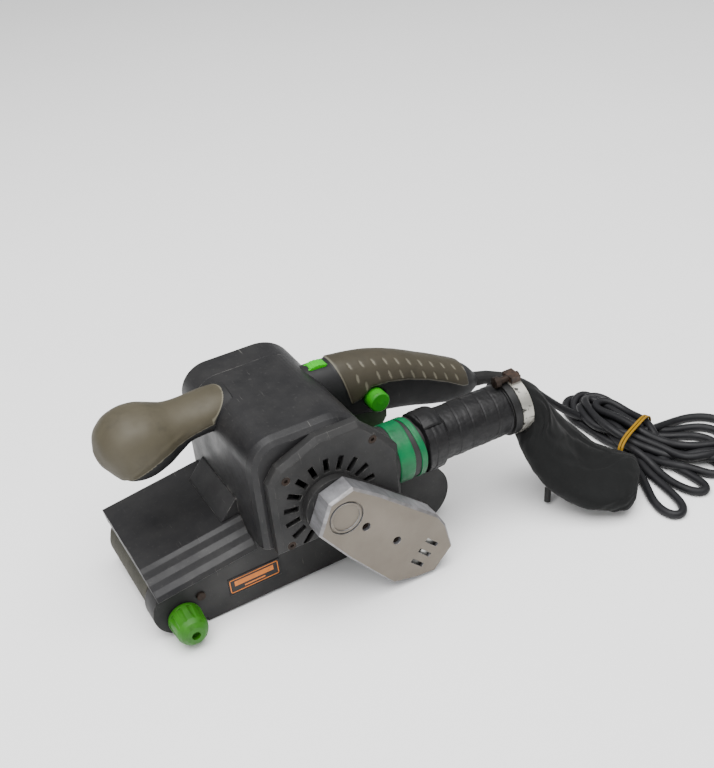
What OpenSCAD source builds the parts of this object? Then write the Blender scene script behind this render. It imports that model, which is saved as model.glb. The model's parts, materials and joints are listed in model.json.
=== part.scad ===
// Handheld belt sander for 75 x 457 mm belts, with its dust adapter, dust bag and mains cord.
// +Z up, front knob towards -X, rear handle towards +X, drive side (left) towards -Y.
// The origin is the centre of the belt's flat sole, and z = 0 is the surface being sanded.

/* [Sanding belt] */
// Length round the sanding belt
belt_length = 457; // [450:1:480]
// Width of the sanding belt
belt_width = 75; // [70:1:76]
// Thickness of the sanding belt
belt_thickness = 1; // [0.8:0.1:1.2]
// Radius of the two belt rollers
roller_r = 19; // [18.5:0.1:19.5]

/* [Base] */
// Distance from the middle to the outer face of the left side plate
side_y = 60; // [58:1:62]
// Distance from the middle to the right edge of the deck
right_y = 45; // [44:1:47]
// Wall thickness of the moulded casings
wall = 3; // [2.4:0.1:3.2]

/* [Motor] */
// Height of the motor axis above the sole
motor_z = 82; // [80:1:84]
// Distance of the motor axis behind the middle of the sole
motor_x = 24; // [22:1:26]
// Radius of the motor shaft
shaft_r = 4; // [3.5:0.1:4.2]

/* [Dust outlet] */
// Distance of the outlet's axis from the middle
outlet_y = 63; // [61:1:65]
// Outer radius of the outlet stub
outlet_r = 21.5; // [20:0.5:22]

/* [Cord] */
// Diameter of the mains cord
cord_d = 6.6; // [6:0.1:7]

/* [Hidden] */
$fn = 64;

// Gaps: between parts that move past each other, and round a shaft that runs in a bore
gap = 0.4;
run_gap = 0.05;

// Rollers and sole
centre_distance = (belt_length - 2 * PI * (roller_r + belt_thickness / 2)) / 2;
front_x = -centre_distance / 2;
drive_x = centre_distance / 2;
loop_r = roller_r + gap;
roller_z = loop_r + belt_thickness;
deck_z = 2 * roller_z + 2;
deck_t = 4;
track_z = 14.5;

// Levels along Y on the drive side, all measured towards -Y
vent_face_y = side_y + 25.5;
barrel_y = side_y + 16;
case_face_y = vent_face_y + 6.3;
cover_face_y = case_face_y + 16;
end_cap_y = 50;
split_y = 22;

// Motor
armature_r = 21.5;
stator_r = 31.15;
fan_r = 23.5;
pinion_r = 7;
pulley_r = 12.5;
drive_belt_t = 1.3;
bearing_r = 11;
bearing_w = 7;

// Screws, all of one pattern: head, shank, and the places they stand in
screw_head_r = 3.2;
screw_head_h = 2.2;
screw_r = 1.6;
screw_length = 28;
post_r = 4.2;
vent_screws = [[-8.5, 58], [-6, 112], [60, 118]];
cap_screws = [[-18, 60], [58, 60], [-10, 124], [36, 130]];
handle_screws = [[76, 93], [132, 92], [150, 85]];
cover_screws = [20, 52];

// Tension crank: its axis, the throw of its peg and the peg's angle when the belt is tight
crank_at = [-42, 20];
crank_throw = 4.3;
crank_angle = 45;
peg_r = 2;

// Dust outlet: the stub's ends, the pipe that is pushed in, and the clamp near the bag
outlet_z = motor_z;
stub_x0 = 78;
stub_x1 = 102;
pipe_r = 18.5;
pipe_x1 = 193;
clamp_x0 = 184.5;
clamp_x1 = 193.5;

// Rear handle: stations of [x, z, half height, half width] along its middle line
handle_line = [
    [40, 111, 21, 17], [60, 109, 23, 18.5], [80, 105.5, 23.5, 19], [100, 101.5, 23.5, 19],
    [120, 96, 22.5, 18.5], [140, 89.5, 21, 18], [160, 81.5, 19.5, 17], [176, 75, 17, 15.5],
    [188, 70, 13, 12], [195, 68, 8, 8]
];

// Front knob and its neck: the same four values along X
knob_line = [
    [-104.5, 119, 7, 8], [-101, 121, 15, 16], [-94, 123, 22, 23], [-84, 124.5, 25.5, 27],
    [-73, 125, 25.5, 27.5], [-62, 125.5, 22.5, 24.5], [-53, 126.5, 18.5, 20.5],
    [-44, 128, 15, 18.5], [-32, 129, 14, 18.5], [-18, 129.5, 14, 18.5],
    [-6, 131, 11.8, 16.5], [0, 132, 8, 11]
];

// Mains cord: free stretches of its route, and the tied hank between them
lead_route = [
    [238, -10, 52], [251, -14, 38], [264, -17, 25], [276, -20, 14], [286, -26, 8], [292, -36, 6]
];
tail_route = [
    [334, -132, 9], [340, -134.5, 8], [346, -136.5, 8], [352, -137.5, 9.5], [358, -138, 11]
];
// Gathered cord: circles [x, y, radius] from its far end to its waist and on to its near end
hank_far = [[303, 2, 13], [300, -72, 19]];
hank_near = [[300, -72, 19], [272, -148, 14], [334, -108, 18], [318, -138, 16]];
hank_h = 18;
hank_low = 1.2;

// ---------- helpers ----------

// Extrudes an outline drawn in XZ from y0 to y1 (y0 < y1)
module span_y(y0, y1) {
    translate([0, y1, 0])
        rotate([90, 0, 0])
            linear_extrude(y1 - y0)
                children();
}

// A cylinder along Y, centred on (x, z)
module drum(r, y0, y1, x, z) {
    translate([x, y1, z])
        rotate([90, 0, 0])
            cylinder(r = r, h = y1 - y0);
}

// A tube along Y, centred on (x, z)
module ring_drum(r, bore, y0, y1, x, z) {
    difference() {
        drum(r, y0, y1, x, z);
        drum(bore, y0 - 1, y1 + 1, x, z);
    }
}

// A cylinder along X, centred on (y, z)
module rod_x(r, x0, x1, y, z) {
    translate([x0, y, z])
        rotate([0, 90, 0])
            cylinder(r = r, h = x1 - x0);
}

// A tube along X, centred on (y, z)
module tube_x(r, bore, x0, x1, y, z) {
    difference() {
        rod_x(r, x0, x1, y, z);
        rod_x(bore, x0 - 1, x1 + 1, y, z);
    }
}

// One casing screw along Y: head at y, shank towards dir (-1 or 1), grown by fit
module screw(x, z, y, dir, fit = 0, length = screw_length) {
    head = [y, y - dir * screw_head_h];
    shank = [y, y + dir * length];
    drum(screw_head_r + fit, min(head), max(head), x, z, $fn = 32);
    drum(screw_r + fit, min(shank), max(shank), x, z, $fn = 32);
}

// Every screw of the casings, grown by fit
module all_screws(fit = 0) {
    for (s = vent_screws)
        screw(s[0], s[1], -vent_face_y + screw_head_h, 1, fit);
    for (s = cap_screws)
        screw(s[0], s[1], split_y + 20, -1, fit);
    for (s = handle_screws)
        screw(s[0], s[1], 13.5, -1, fit);
    for (u = cover_screws)
        screw(motor_x + u * cos(cover_angle), motor_z + u * sin(cover_angle), -cover_face_y + 5, 1, fit);
    screw(-71, 26, -side_y + 0.3, 1, fit, 8);
}

// A box between two corners
module block(a, b) {
    translate(a)
        cube(b - a);
}

// Copies the children round an axis along Y through (x, z)
module around(n, x, z) {
    for (i = [0 : n - 1])
        translate([x, 0, z])
            rotate([0, i * 360 / n, 0])
                children();
}

function unit(v) = v / norm(v);

// One closed ring of a loft: an ellipse squared off a little by its power
function soft_ring(c, u, v, a, b, n, p = 0.85) = [
    for (i = [0 : n - 1])
        let (t = 360 * i / n, s = sin(t), k = cos(t))
        c + u * a * sign(k) * pow(abs(k), p) + v * b * sign(s) * pow(abs(s), p)
];

// A closed solid through rings that have the same number of points
module loft(rings) {
    n = len(rings[0]);
    m = len(rings);
    points = [for (r = rings) for (p = r) p];
    sides = [
        for (j = [0 : m - 2]) for (i = [0 : n - 1]) let (k = (i + 1) % n)
            each [[j * n + i, (j + 1) * n + i, j * n + k], [j * n + k, (j + 1) * n + i, (j + 1) * n + k]]
    ];
    start = [for (i = [0 : n - 1]) i];
    end = [for (i = [n - 1 : -1 : 0]) (m - 1) * n + i];
    polyhedron(points, concat([start], sides, [end]), convexity = 6);
}

// Direction of a route at point i
function heading(route, i) =
    unit(route[min(i + 1, len(route) - 1)] - route[max(i - 1, 0)]);

// A round tube along a route
module cord_tube(route, d, n = 10) {
    loft([
        for (i = [0 : len(route) - 1])
            let (t = heading(route, i), u = unit(cross([0, 0, 1], t)), v = cross(t, u))
            [for (k = [0 : n - 1]) route[i] + d / 2 * (u * cos(360 * k / n) + v * sin(360 * k / n))]
    ]);
}

// A body lofted along X through stations of [x, z, half height, half width], shrunk by inset,
// with its first and last stations moved along X by ends
module station_loft(line, inset = 0, ends = [0, 0], n = 24, p = 0.85) {
    last = len(line) - 1;
    loft([
        for (i = [0 : last])
            let (
                s = line[i] + [i == 0 ? ends[0] : i == last ? ends[1] : 0, 0, 0, 0],
                a = line[max(i - 1, 0)],
                b = line[min(i + 1, last)],
                t = unit([b[0] - a[0], 0, b[1] - a[1]]),
                up = [-t[2], 0, t[0]]
            )
            soft_ring([s[0], 0, s[1]], [0, 1, 0], up, s[3] - inset, s[2] - inset, n, p)
    ]);
}

// ---------- outlines ----------

// Side plate seen from the left, shrunk by inset
module side_outline(inset = 0) {
    nose = [front_x - 1, 22.5];
    tail = [106, 30.5];
    nose_r = 21.7 - inset;
    tail_r = 25.5 - inset;
    translate(nose)
        circle(nose_r);
    translate(tail)
        circle(tail_r);
    polygon([
        nose - [0, nose_r - 0.1], tail - [0, tail_r - 0.1],
        tail + [0, tail_r - 0.1], nose + [0, nose_r - 0.1]
    ]);
}

// Motor housing seen from the side, shrunk by inset
module housing_outline(inset = 0) {
    top = motor_z + 57.5;
    front_r = 21;
    rear_r = 31;
    translate([-26 + front_r, top - front_r])
        circle(front_r - inset);
    translate([64 - rear_r, top - rear_r])
        circle(rear_r - inset);
    polygon([
        [-26 + inset, deck_z + deck_t + inset], [64 - inset, deck_z + deck_t + inset],
        [64 - inset, top - rear_r], [64 - rear_r, top - inset - 0.1],
        [-26 + front_r, top - inset - 0.1], [-26 + inset, top - front_r]
    ]);
}

// Vent cover seen from the left, shrunk by inset
module vent_outline(inset = 0) {
    polygon([
        [-18 + inset, 52 + inset], [-18 + inset, 111], [-10 + inset * 0.6, 122 - inset * 0.8],
        [20, 135 - inset], [51, 135 - inset], [70 - inset * 0.7, 116 - inset * 0.7],
        [80 - inset, 103.5 - inset], [80 - inset, 60 + inset], [70, 52 + inset]
    ]);
}

// Drive belt cover: its long axis runs from the motor axis down to the drive roller's axis
cover_run = norm([drive_x - motor_x, roller_z - motor_z]);
cover_angle = atan2(roller_z - motor_z, drive_x - motor_x);
module on_cover_axis() {
    translate([motor_x, motor_z])
        rotate(cover_angle)
            children();
}
module cover_outline(inset = 0) {
    end = cover_run + 16.5 - inset;
    on_cover_axis()
        polygon([
            [-18.5 + inset, 3], [-10 + inset * 0.7, 20.5 - inset], [14, 24 - inset],
            [72, 28.5 - inset], [84 - inset * 0.4, 25 - inset * 0.9], [end, 13 - inset * 0.4],
            [end, -9 + inset * 0.3], [90 - inset * 0.5, -20 + inset * 0.9],
            [74, -30 + inset], [26, -25.5 + inset], [-9 + inset * 0.6, -20 + inset]
        ]);
}

// Loop of belting round the two rollers
module belt_loop(r) {
    hull() {
        translate([front_x, roller_z])
            circle(r);
        translate([drive_x, roller_z])
            circle(r);
    }
}

// ---------- base, belt and rollers ----------

// Side tray, deck over the belt, beam inside the belt loop and rear guard in one moulding
module base_frame() {
    inner_y = -(belt_width / 2 + 6);
    beam = [-50, 52];
    beam_z = [7.4, 33];
    beam_end = belt_width / 2 - 3;
    color([0.16, 0.16, 0.165])
    difference() {
        union() {
            difference() {
                span_y(-side_y, inner_y)
                    side_outline();
                span_y(-side_y + wall, inner_y + 1)
                    side_outline(wall);
            }
            // Deck over the top run of the belt, curving down behind the drive roller
            span_y(inner_y - 1, right_y)
                polygon(concat(
                    [[-66, deck_z], [-66, deck_z + deck_t]],
                    [for (a = [90 : -10 : -20]) guard_point(deck_z + deck_t - roller_z, a)],
                    [for (a = [-20 : 10 : 90]) guard_point(deck_z - roller_z, a)]
                ));
            // Beam that carries the platen and guides the yoke
            difference() {
                block([beam[0], -side_y + 1, beam_z[0]], [beam[1], beam_end, beam_z[1]]);
                block([-1, inner_y + 8, beam_z[0] + 6], [beam[1] - 5, beam_end - 3, beam_z[1] - 4]);
            }
            // Seats of the inner roller bearing, the tracking screw and the small plate screw
            drum(bearing_r + 4, -side_y + 1, inner_y + 2.9, drive_x, roller_z);
            drum(8, -side_y + 1, -side_y + 10, front_x - 2, track_z);
            drum(post_r, -side_y + 1, -side_y + 10, -71, 26);
        }
        // Guide for the stem of the tension yoke, and the bore of its crank
        block([beam[0] - 1, -9 - gap, 13 - gap], [-6, 9 + gap, 27 + gap]);
        drum(crank_r + run_gap, 9, beam_end + 1, crank_at[0], crank_at[1]);
        drum(bearing_r, -52, -30, drive_x, roller_z);
        drum(6.5, -side_y - 1, -30, drive_x, roller_z);
        drum(3 + run_gap, -side_y - 1, -30, front_x - 2, track_z);
        // Notch in the lower edge, and room for the hood and the motor above
        block([-76, -side_y - 1, -5], [-69, -side_y + wall + 1, 4.2]);
        hood_clearance();
        block([-27, -side_y - 1, deck_z + deck_t], [65, right_y + 1, 80]);
        all_screws(run_gap);
    }
}
crank_r = crank_throw + peg_r + 0.2;

// Point on the curved guard round the drive roller's axis
function guard_point(r, a) = [drive_x + r * cos(a), roller_z + r * sin(a)];

// Cross section of the hood's skin as [y, z], from its right skirt over the top to its left skirt
hood_skin = [
    [42, 40], [42, 48], [38.5, 51.5], [-40.5, 51.5], [-43.5, 49.5], [-46.5, 45.6], [-51, 43.4],
    [-57, 42.6], [-61.5, 40.5], [-63.2, 37]
];
hood_t = 2.6;
function hood_inside(i) =
    hood_skin[i] - [sign(hood_skin[i][0]) * (abs(hood_skin[i][0]) > 40 ? hood_t : 0), hood_t];
hood_front = front_x - 17.5;
hood_low = 35;

// Turns a section drawn at the hood's front end up its slope
module on_hood_slope() {
    slope = 8.5;
    translate([hood_front, 0, hood_low])
        rotate([0, -slope, 0])
            translate([0, 0, -hood_low])
                rotate([90, 0, 90])
                    children();
}

// Long sloping cover over the front roller, with a hollow flare down to its skirt
module front_hood() {
    color([0.2, 0.2, 0.215])
    intersection() {
        union() {
            on_hood_slope()
                linear_extrude(90)
                    polygon(concat(
                        hood_skin,
                        [for (i = [len(hood_skin) - 1 : -1 : 0]) hood_inside(i)]
                    ));
            on_hood_slope()
                linear_extrude(hood_t)
                    polygon(hood_skin);
        }
        block([hood_front - 12, -70, hood_low - 20], [-26.1, right_y, 90]);
    }
}

// Space above the underside of the hood's left flare, and round its right skirt and front wall
module hood_clearance() {
    under = [0, hood_fit];
    skirt_y = hood_skin[0][0] - hood_t - hood_fit;
    on_hood_slope()
        translate([0, 0, -hood_fit])
            linear_extrude(hood_t + 2 * hood_fit)
                translate(-under)
                    polygon(hood_skin);
    on_hood_slope()
        translate([0, 0, -10])
            linear_extrude(110) {
                polygon(concat(
                    [[-80, 100], [-43.2, 100], [-43.2, 43.6]],
                    [for (i = [5 : 9]) hood_inside(i) - under],
                    [[-80, 34]]
                ));
                polygon([[skirt_y, 36], [right_y + 1, 36], [right_y + 1, 80], [skirt_y, 80]]);
            }
}
hood_fit = 0.3;

// Endless sanding belt round both rollers
module sanding_belt() {
    color([0.47, 0.46, 0.40])
    difference() {
        span_y(-belt_width / 2, belt_width / 2)
            belt_loop(loop_r + belt_thickness);
        span_y(-belt_width / 2 - 1, belt_width / 2 + 1)
            belt_loop(loop_r);
    }
}

// Steel plate behind the flat run of the belt
module platen() {
    color([0.62, 0.63, 0.64])
        block([-54, -34, belt_thickness + 3.2], [56, 34, belt_thickness + 6.35]);
}

// Cork and graphite pad between the platen and the belt
module platen_pad() {
    color([0.45, 0.33, 0.22])
        block([-54, -34, belt_thickness + 0.05], [56, 34, belt_thickness + 3.15]);
}

// Sliding fork that carries the front roller's axle
module tension_yoke() {
    peg_x = crank_at[0] - crank_throw * sin(crank_angle);
    arm_in = belt_width / 2 + 1;
    arm_out = belt_width / 2 + 5.5;
    color([0.24, 0.24, 0.25])
    difference() {
        union() {
            block([-62, -9, 13], [-20, 9, 27]);
            block([-62, -arm_out, 12], [-57, arm_out, 28]);
            for (y = [-arm_out, arm_in])
                hull() {
                    drum(loop_r - 1, y, y + arm_out - arm_in, front_x, roller_z);
                    block([-60, y, 12], [-57, y + arm_out - arm_in, 28]);
                }
        }
        drum(5, -arm_out - 1, arm_out + 1, front_x, roller_z);
        // Pocket that holds the front end of the spring, and the slot for the crank's peg
        rod_x(4.6, -34, -19, 0, 20);
        block([peg_x - peg_r - 0.25, 5, crank_at[1]], [peg_x + peg_r + 0.25, 10, 28]);
    }
}

// Axle pressed into both arms of the yoke
module front_axle() {
    color([0.75, 0.76, 0.77])
        drum(5, -belt_width / 2 - 5.5, belt_width / 2 + 5.5, front_x, roller_z);
}

// Free-running front roller
module front_roller() {
    half = belt_width / 2 + 0.6;
    color([0.35, 0.36, 0.37])
    difference() {
        drum(roller_r, -half, half, front_x, roller_z);
        drum(5 + run_gap, -half - 1, half + 1, front_x, roller_z);
        for (side = [-1, 1])
            ring_drum(roller_r - 3, 9, side * half - 3, side * half + 3, front_x, roller_z);
    }
}

// Coil spring that pushes the yoke forwards
module tension_spring() {
    turns = 5;
    coil_r = 3.2;
    steps = 10;
    pitch = 24 / (turns * steps);
    color([0.7, 0.71, 0.72])
        cord_tube([
            for (i = [0 : turns * steps])
                [-33 + i * pitch, coil_r * cos(360 * i / steps), 20 + coil_r * sin(360 * i / steps)]
        ], 1.4, 6);
}

// Crank lever on the open side that draws the front roller back to free the belt
module tension_lever() {
    tip = crank_at + [12.5, 0];
    color([0.2, 0.55, 0.2])
    union() {
        drum(crank_r, 9.8, belt_width / 2 + 2, crank_at[0], crank_at[1]);
        translate([crank_at[0], 0, crank_at[1]])
            rotate([0, -crank_angle, 0])
                drum(peg_r, 5.4, 10, 0, crank_throw);
        span_y(belt_width / 2 + 1.2, belt_width / 2 + 4.5)
            hull() {
                translate(crank_at)
                    circle(crank_r + 1, $fn = 32);
                translate(tip)
                    circle(4, $fn = 32);
            }
        drum(4, belt_width / 2 + 4, belt_width / 2 + 11, tip[0], tip[1]);
    }
}

// Screw that tilts the yoke to keep the belt central
module tracking_screw() {
    color([0.72, 0.72, 0.70])
        drum(3, -side_y - 8, -belt_width / 2 - 6, front_x - 2, track_z);
}

// Fluted knob on the tracking screw
module tracking_knob() {
    flutes = 10;
    color([0.32, 0.6, 0.17])
    translate([front_x - 2, -side_y - 1, track_z])
        rotate([90, 0, 0])
            difference() {
                rotate_extrude()
                    polygon([
                        [0, 0], [12, 0], [12.4, 1.5], [11.4, 16], [9.6, 19.5], [6.8, 21.8], [0, 22.4]
                    ]);
                translate([0, 0, -1])
                    cylinder(r = 3, h = 8);
                translate([0, 0, 18])
                    cylinder(r = 3.2, h = 6);
                for (i = [0 : flutes - 1])
                    rotate(i * 360 / flutes)
                        translate([13.7, 0, 3])
                            cylinder(r = 2.6, h = 20, $fn = 24);
            }
}

// Rubber-faced drive roller
module drive_roller() {
    half = belt_width / 2 + 0.6;
    color([0.13, 0.13, 0.13])
    difference() {
        drum(roller_r, -half, half, drive_x, roller_z);
        drum(5, -half - 1, half + 1, drive_x, roller_z);
        ring_drum(roller_r - 3, 9, half - 3, half + 3, drive_x, roller_z);
    }
}

// Shaft from the driven pulley through both bearings to the roller
module drive_shaft() {
    color([0.74, 0.75, 0.76])
        drum(5, -case_face_y - 13, belt_width / 2 + 0.6, drive_x, roller_z);
}

// Driven pulley of the toothed belt
module driven_pulley() {
    toothed_pulley(pulley_r, 25, 5, drive_x, roller_z);
}

// Pulley with square teeth, bored for its shaft
module toothed_pulley(r, teeth, bore, x, z) {
    y0 = -case_face_y - 12;
    y1 = -case_face_y - 2.5;
    color([0.66, 0.66, 0.64])
    difference() {
        drum(r, y0, y1, x, z);
        drum(bore, y0 - 1, y1 + 1, x, z);
        around(teeth, x, z)
            block([-0.55, y0 - 1, r - 0.9], [0.55, y1 + 1, r + 1]);
    }
}

// Ball bearing: outer ring, inner ring and a shield between them
module ball_bearing(r, bore, y0, y1, x, z) {
    mid = (r + bore) / 2;
    color([0.7, 0.71, 0.73])
    difference() {
        drum(r, y0, y1, x, z);
        drum(bore, y0 - 1, y1 + 1, x, z);
        ring_drum(mid + 1.2, mid - 1.2, y0 - 1, y0 + 0.5, x, z);
        ring_drum(mid + 1.2, mid - 1.2, y1 - 0.5, y1 + 1, x, z);
    }
}
module inner_roller_bearing() {
    ball_bearing(bearing_r, 5 + run_gap, -52, -52 + bearing_w, drive_x, roller_z);
}
module outer_roller_bearing() {
    ball_bearing(bearing_r, 5 + run_gap, -86, -86 + bearing_w, drive_x, roller_z);
}

// Toothed belt from the motor pinion to the driven pulley
module toothed_belt() {
    y0 = -case_face_y - 11.5;
    y1 = -case_face_y - 3;
    color([0.1, 0.1, 0.1])
    difference() {
        span_y(y0, y1)
            belt_outline(gap + drive_belt_t);
        span_y(y0 - 1, y1 + 1)
            belt_outline(gap);
    }
}
module belt_outline(grow) {
    hull() {
        translate([motor_x, motor_z])
            circle(pinion_r + grow);
        translate([drive_x, roller_z])
            circle(pulley_r + grow);
    }
}

// ---------- drive side ----------

// Back half of the toothed belt's case, with the tube round the drive shaft
module belt_case() {
    boss_r = bearing_r + 4;
    color([0.17, 0.17, 0.175])
    difference() {
        union() {
            span_y(-case_face_y + 0.1, -vent_face_y - 0.1)
                cover_outline(1);
            drum(boss_r, -vent_face_y - 1, -side_y - 0.1, drive_x, roller_z);
            drum(21.5, -case_face_y + 0.1, -vent_face_y - 0.1, motor_x, motor_z);
            // Foot that the lower cover screw runs into
            on_screw_axis(cover_screws[1])
                drum(post_r + 1, -case_face_y + 1, -side_y - 0.1, 0, 0);
        }
        all_screws(run_gap);
        drum(8, -case_face_y - 1, -vent_face_y + 1, motor_x, motor_z);
        drum(bearing_r, -86, -86 + bearing_w + 0.1, drive_x, roller_z);
        drum(bearing_r - 2, -case_face_y - 1, -side_y + 1, drive_x, roller_z);
        drum(bearing_r, -86 + bearing_w, -side_y + 1, drive_x, roller_z);
    }
}

// Puts the children on the belt cover's long axis, u behind the motor axis
module on_screw_axis(u) {
    translate([motor_x + u * cos(cover_angle), 0, motor_z + u * sin(cover_angle)])
        children();
}

// Cast cover over the toothed belt
module drive_belt_cover() {
    face = -cover_face_y;
    back = -case_face_y;
    rim = 1.6;
    color([0.6, 0.57, 0.53])
    difference() {
        union() {
            difference() {
                hull() {
                    span_y(face + 2, back)
                        cover_outline();
                    span_y(face, back)
                        cover_outline(rim);
                }
                span_y(face + 2.4, back + 1)
                    cover_outline(rim + 0.4);
            }
            for (u = cover_screws)
                on_screw_axis(u)
                    drum(post_r, face + 1, back, 0, 0);
        }
        // Ring groove and shallow dish round the motor axis
        ring_drum(13, 11.6, face - 1, face + 1.4, motor_x, motor_z);
        drum(10.2, face - 1, face + 0.9, motor_x, motor_z);
        // Wells over the screw heads on the long axis
        for (u = cover_screws)
            on_screw_axis(u)
                drum(screw_head_r + run_gap, face - 1, face + 4, 0, 0);
        all_screws(run_gap);
        // Three slots in the lower end
        for (v = [-9, 0, 9])
            translate([motor_x, 0, motor_z])
                rotate([0, -cover_angle, 0])
                    block([76, face - 1, v - 1.6], [88, face + 4, v + 1.6]);
    }
}

// Fan cover with a ring of vents and the outlet stub towards the rear
module vent_cover() {
    slots = 18;
    back = -barrel_y - 0.05;
    color([0.17, 0.17, 0.175])
    difference() {
        union() {
            difference() {
                union() {
                    hull() {
                        span_y(-vent_face_y + 3.5, back)
                            vent_outline();
                        span_y(-vent_face_y, back)
                            vent_outline(3.5);
                    }
                    hull() {
                        block([66, -vent_face_y + 1, outlet_z - 20],
                              [68, -outlet_y + outlet_r - 1, outlet_z + 20]);
                        rod_x(outlet_r, stub_x0, stub_x0 + 2, -outlet_y, outlet_z, $fn = 32);
                    }
                    rod_x(outlet_r, stub_x0, stub_x1, -outlet_y, outlet_z);
                }
                span_y(-vent_face_y + wall, back + 1)
                    vent_outline(wall + 1);
                hull() {
                    block([60, -vent_face_y + 5, outlet_z - 16], [68.5, -outlet_y + 12, outlet_z + 16]);
                    rod_x(pipe_r, stub_x0 + 1, stub_x0 + 3, -outlet_y, outlet_z, $fn = 32);
                }
            }
            for (s = vent_screws)
                drum(post_r, -vent_face_y + 1, back, s[0], s[1]);
        }
        block([40, back, 0], [64.1, 0, 200]);
        rod_x(pipe_r + run_gap, stub_x0 + 2.5, stub_x1 + 1, -outlet_y, outlet_z);
        drum(9, -vent_face_y - 1, back, motor_x, motor_z);
        around(slots, motor_x, motor_z)
            block([-2.1, -vent_face_y - 1, 24], [2.1, -vent_face_y + wall + 1, 35]);
        all_screws(run_gap);
    }
}

// ---------- motor ----------

// Barrel of the motor housing with its drive-side wall
module motor_housing() {
    color([0.2, 0.2, 0.215])
    difference() {
        union() {
            difference() {
                union() {
                    hull() {
                        span_y(-barrel_y, split_y)
                            housing_outline(5);
                        span_y(-barrel_y + 3, split_y)
                            housing_outline(1.6);
                        span_y(-barrel_y + 8, split_y)
                            housing_outline();
                    }
                    // Fillet down to the hood
                    span_y(-38, split_y)
                        polygon([[-27, 50], [-40, 61], [-27, 76], [-20, 76], [-20, 50]]);
                }
                // Motor chamber
                span_y(-side_y + 9, split_y + 1)
                    housing_outline(wall + 1);
            }
            for (s = cap_screws)
                drum(post_r, -side_y + 8, split_y, s[0], s[1]);
        }
        // Fan chamber, its way out to the rear, and the seat of the bearing
        drum(fan_r + 1.3, -barrel_y - 1, -side_y + 1, motor_x, motor_z);
        block([motor_x, -barrel_y + 2.5, outlet_z - 13], [70, -side_y + 0.5, outlet_z + 13]);
        drum(bearing_r, -side_y + 2, -side_y + 10, motor_x, motor_z);
        drum(7, -side_y - 1, -side_y + 10, motor_x, motor_z);
        // Stands over the side plate below
        block([-60, -100, 0], [100, -side_y - 0.1, 54]);
        handle_opening();
        all_screws(run_gap);
    }
}

// Ways through the rear wall of the housing: wires, speed wheel and its board
module handle_opening() {
    block([50, -9, 96], [70, 9, 102]);
    block([55, -11, 112], [70, -4, 123]);
    drum(dial_r + gap, -5 - gap, 5 + gap, dial_at[0], dial_at[1]);
}

// Domed cap on the commutator end, with its air slots
module motor_end_cap() {
    color([0.2, 0.2, 0.215])
    difference() {
        union() {
            difference() {
                hull() {
                    span_y(split_y + run_gap, end_cap_y - 6)
                        housing_outline();
                    span_y(end_cap_y - 6, end_cap_y)
                        housing_outline(5);
                }
                span_y(split_y - 1, end_cap_y - 9)
                    housing_outline(wall + 1);
            }
            for (s = cap_screws)
                drum(post_r, split_y + run_gap, end_cap_y - 8, s[0], s[1]);
        }
        drum(bearing_r, end_cap_y - 10, end_cap_y - 3, motor_x, motor_z);
        // Wells over the screw heads, and the air slots
        for (s = cap_screws)
            drum(screw_head_r + run_gap, split_y + 20, end_cap_y + 1, s[0], s[1]);
        all_screws(run_gap);
        for (row = [0 : 4])
            for (side = [-1, 1])
                block([motor_x + side * 22 - 6, end_cap_y - 12, motor_z - 20 + row * 10],
                      [motor_x + side * 22 + 6, end_cap_y + 1, motor_z - 16 + row * 10]);
    }
}

// Shaft through both motor bearings, out to the pinion
module motor_shaft() {
    color([0.74, 0.75, 0.76])
        drum(shaft_r, -case_face_y - 12.6, end_cap_y - 3.5, motor_x, motor_z);
}

// Wound rotor on the shaft
module armature() {
    poles = 12;
    color([0.5, 0.3, 0.15])
    difference() {
        union() {
            drum(armature_r, -32, 12, motor_x, motor_z);
            drum(armature_r - 4, -39, 18, motor_x, motor_z);
        }
        drum(shaft_r, -50, 30, motor_x, motor_z);
        around(poles, motor_x, motor_z)
            block([-1.1, -33, armature_r - 3], [1.1, 13, armature_r + 1]);
    }
}

// Copper commutator beside the windings
module commutator() {
    bars = 24;
    color([0.75, 0.45, 0.22])
    difference() {
        drum(12, 20, 34, motor_x, motor_z);
        drum(shaft_r, 19, 35, motor_x, motor_z);
        around(bars, motor_x, motor_z)
            block([-0.25, 19, 11.2], [0.25, 35, 13]);
    }
}

// Field stack with two coils, held in the barrel
module stator() {
    color([0.55, 0.56, 0.57])
    union() {
        ring_drum(stator_r, armature_r + 0.7, -30, 10, motor_x, motor_z);
        for (y = [-37, 10])
            difference() {
                ring_drum(stator_r - 4, armature_r + 1.5, y, y + 7, motor_x, motor_z);
                block([motor_x - 8, y - 1, motor_z - 50], [motor_x + 8, y + 8, motor_z + 50]);
            }
    }
}

// Bladed disc pushed on the motor shaft
module fan(r, y0, y1, blades) {
    difference() {
        union() {
            drum(r, y0, y0 + 1.6, motor_x, motor_z);
            drum(9, y0, y1, motor_x, motor_z);
            around(blades, motor_x, motor_z)
                block([-0.7, y0, 8], [0.7, y1, r - 0.5]);
        }
        drum(shaft_r, y0 - 1, y1 + 1, motor_x, motor_z);
    }
}
module cooling_fan() {
    color([0.3, 0.3, 0.3])
        fan(stator_r - 1.5, -49.5, -41.5, 12);
}
module dust_fan() {
    color([0.25, 0.25, 0.26])
        fan(fan_r, -74, -62.5, 9);
}
module pinion() {
    toothed_pulley(pinion_r, 14, shaft_r, motor_x, motor_z);
}
module right_motor_bearing() {
    ball_bearing(bearing_r, shaft_r + run_gap, end_cap_y - 10, end_cap_y - 3, motor_x, motor_z);
}
module left_motor_bearing() {
    ball_bearing(bearing_r, shaft_r + run_gap, -side_y + 2, -side_y + 9, motor_x, motor_z);
}

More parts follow.
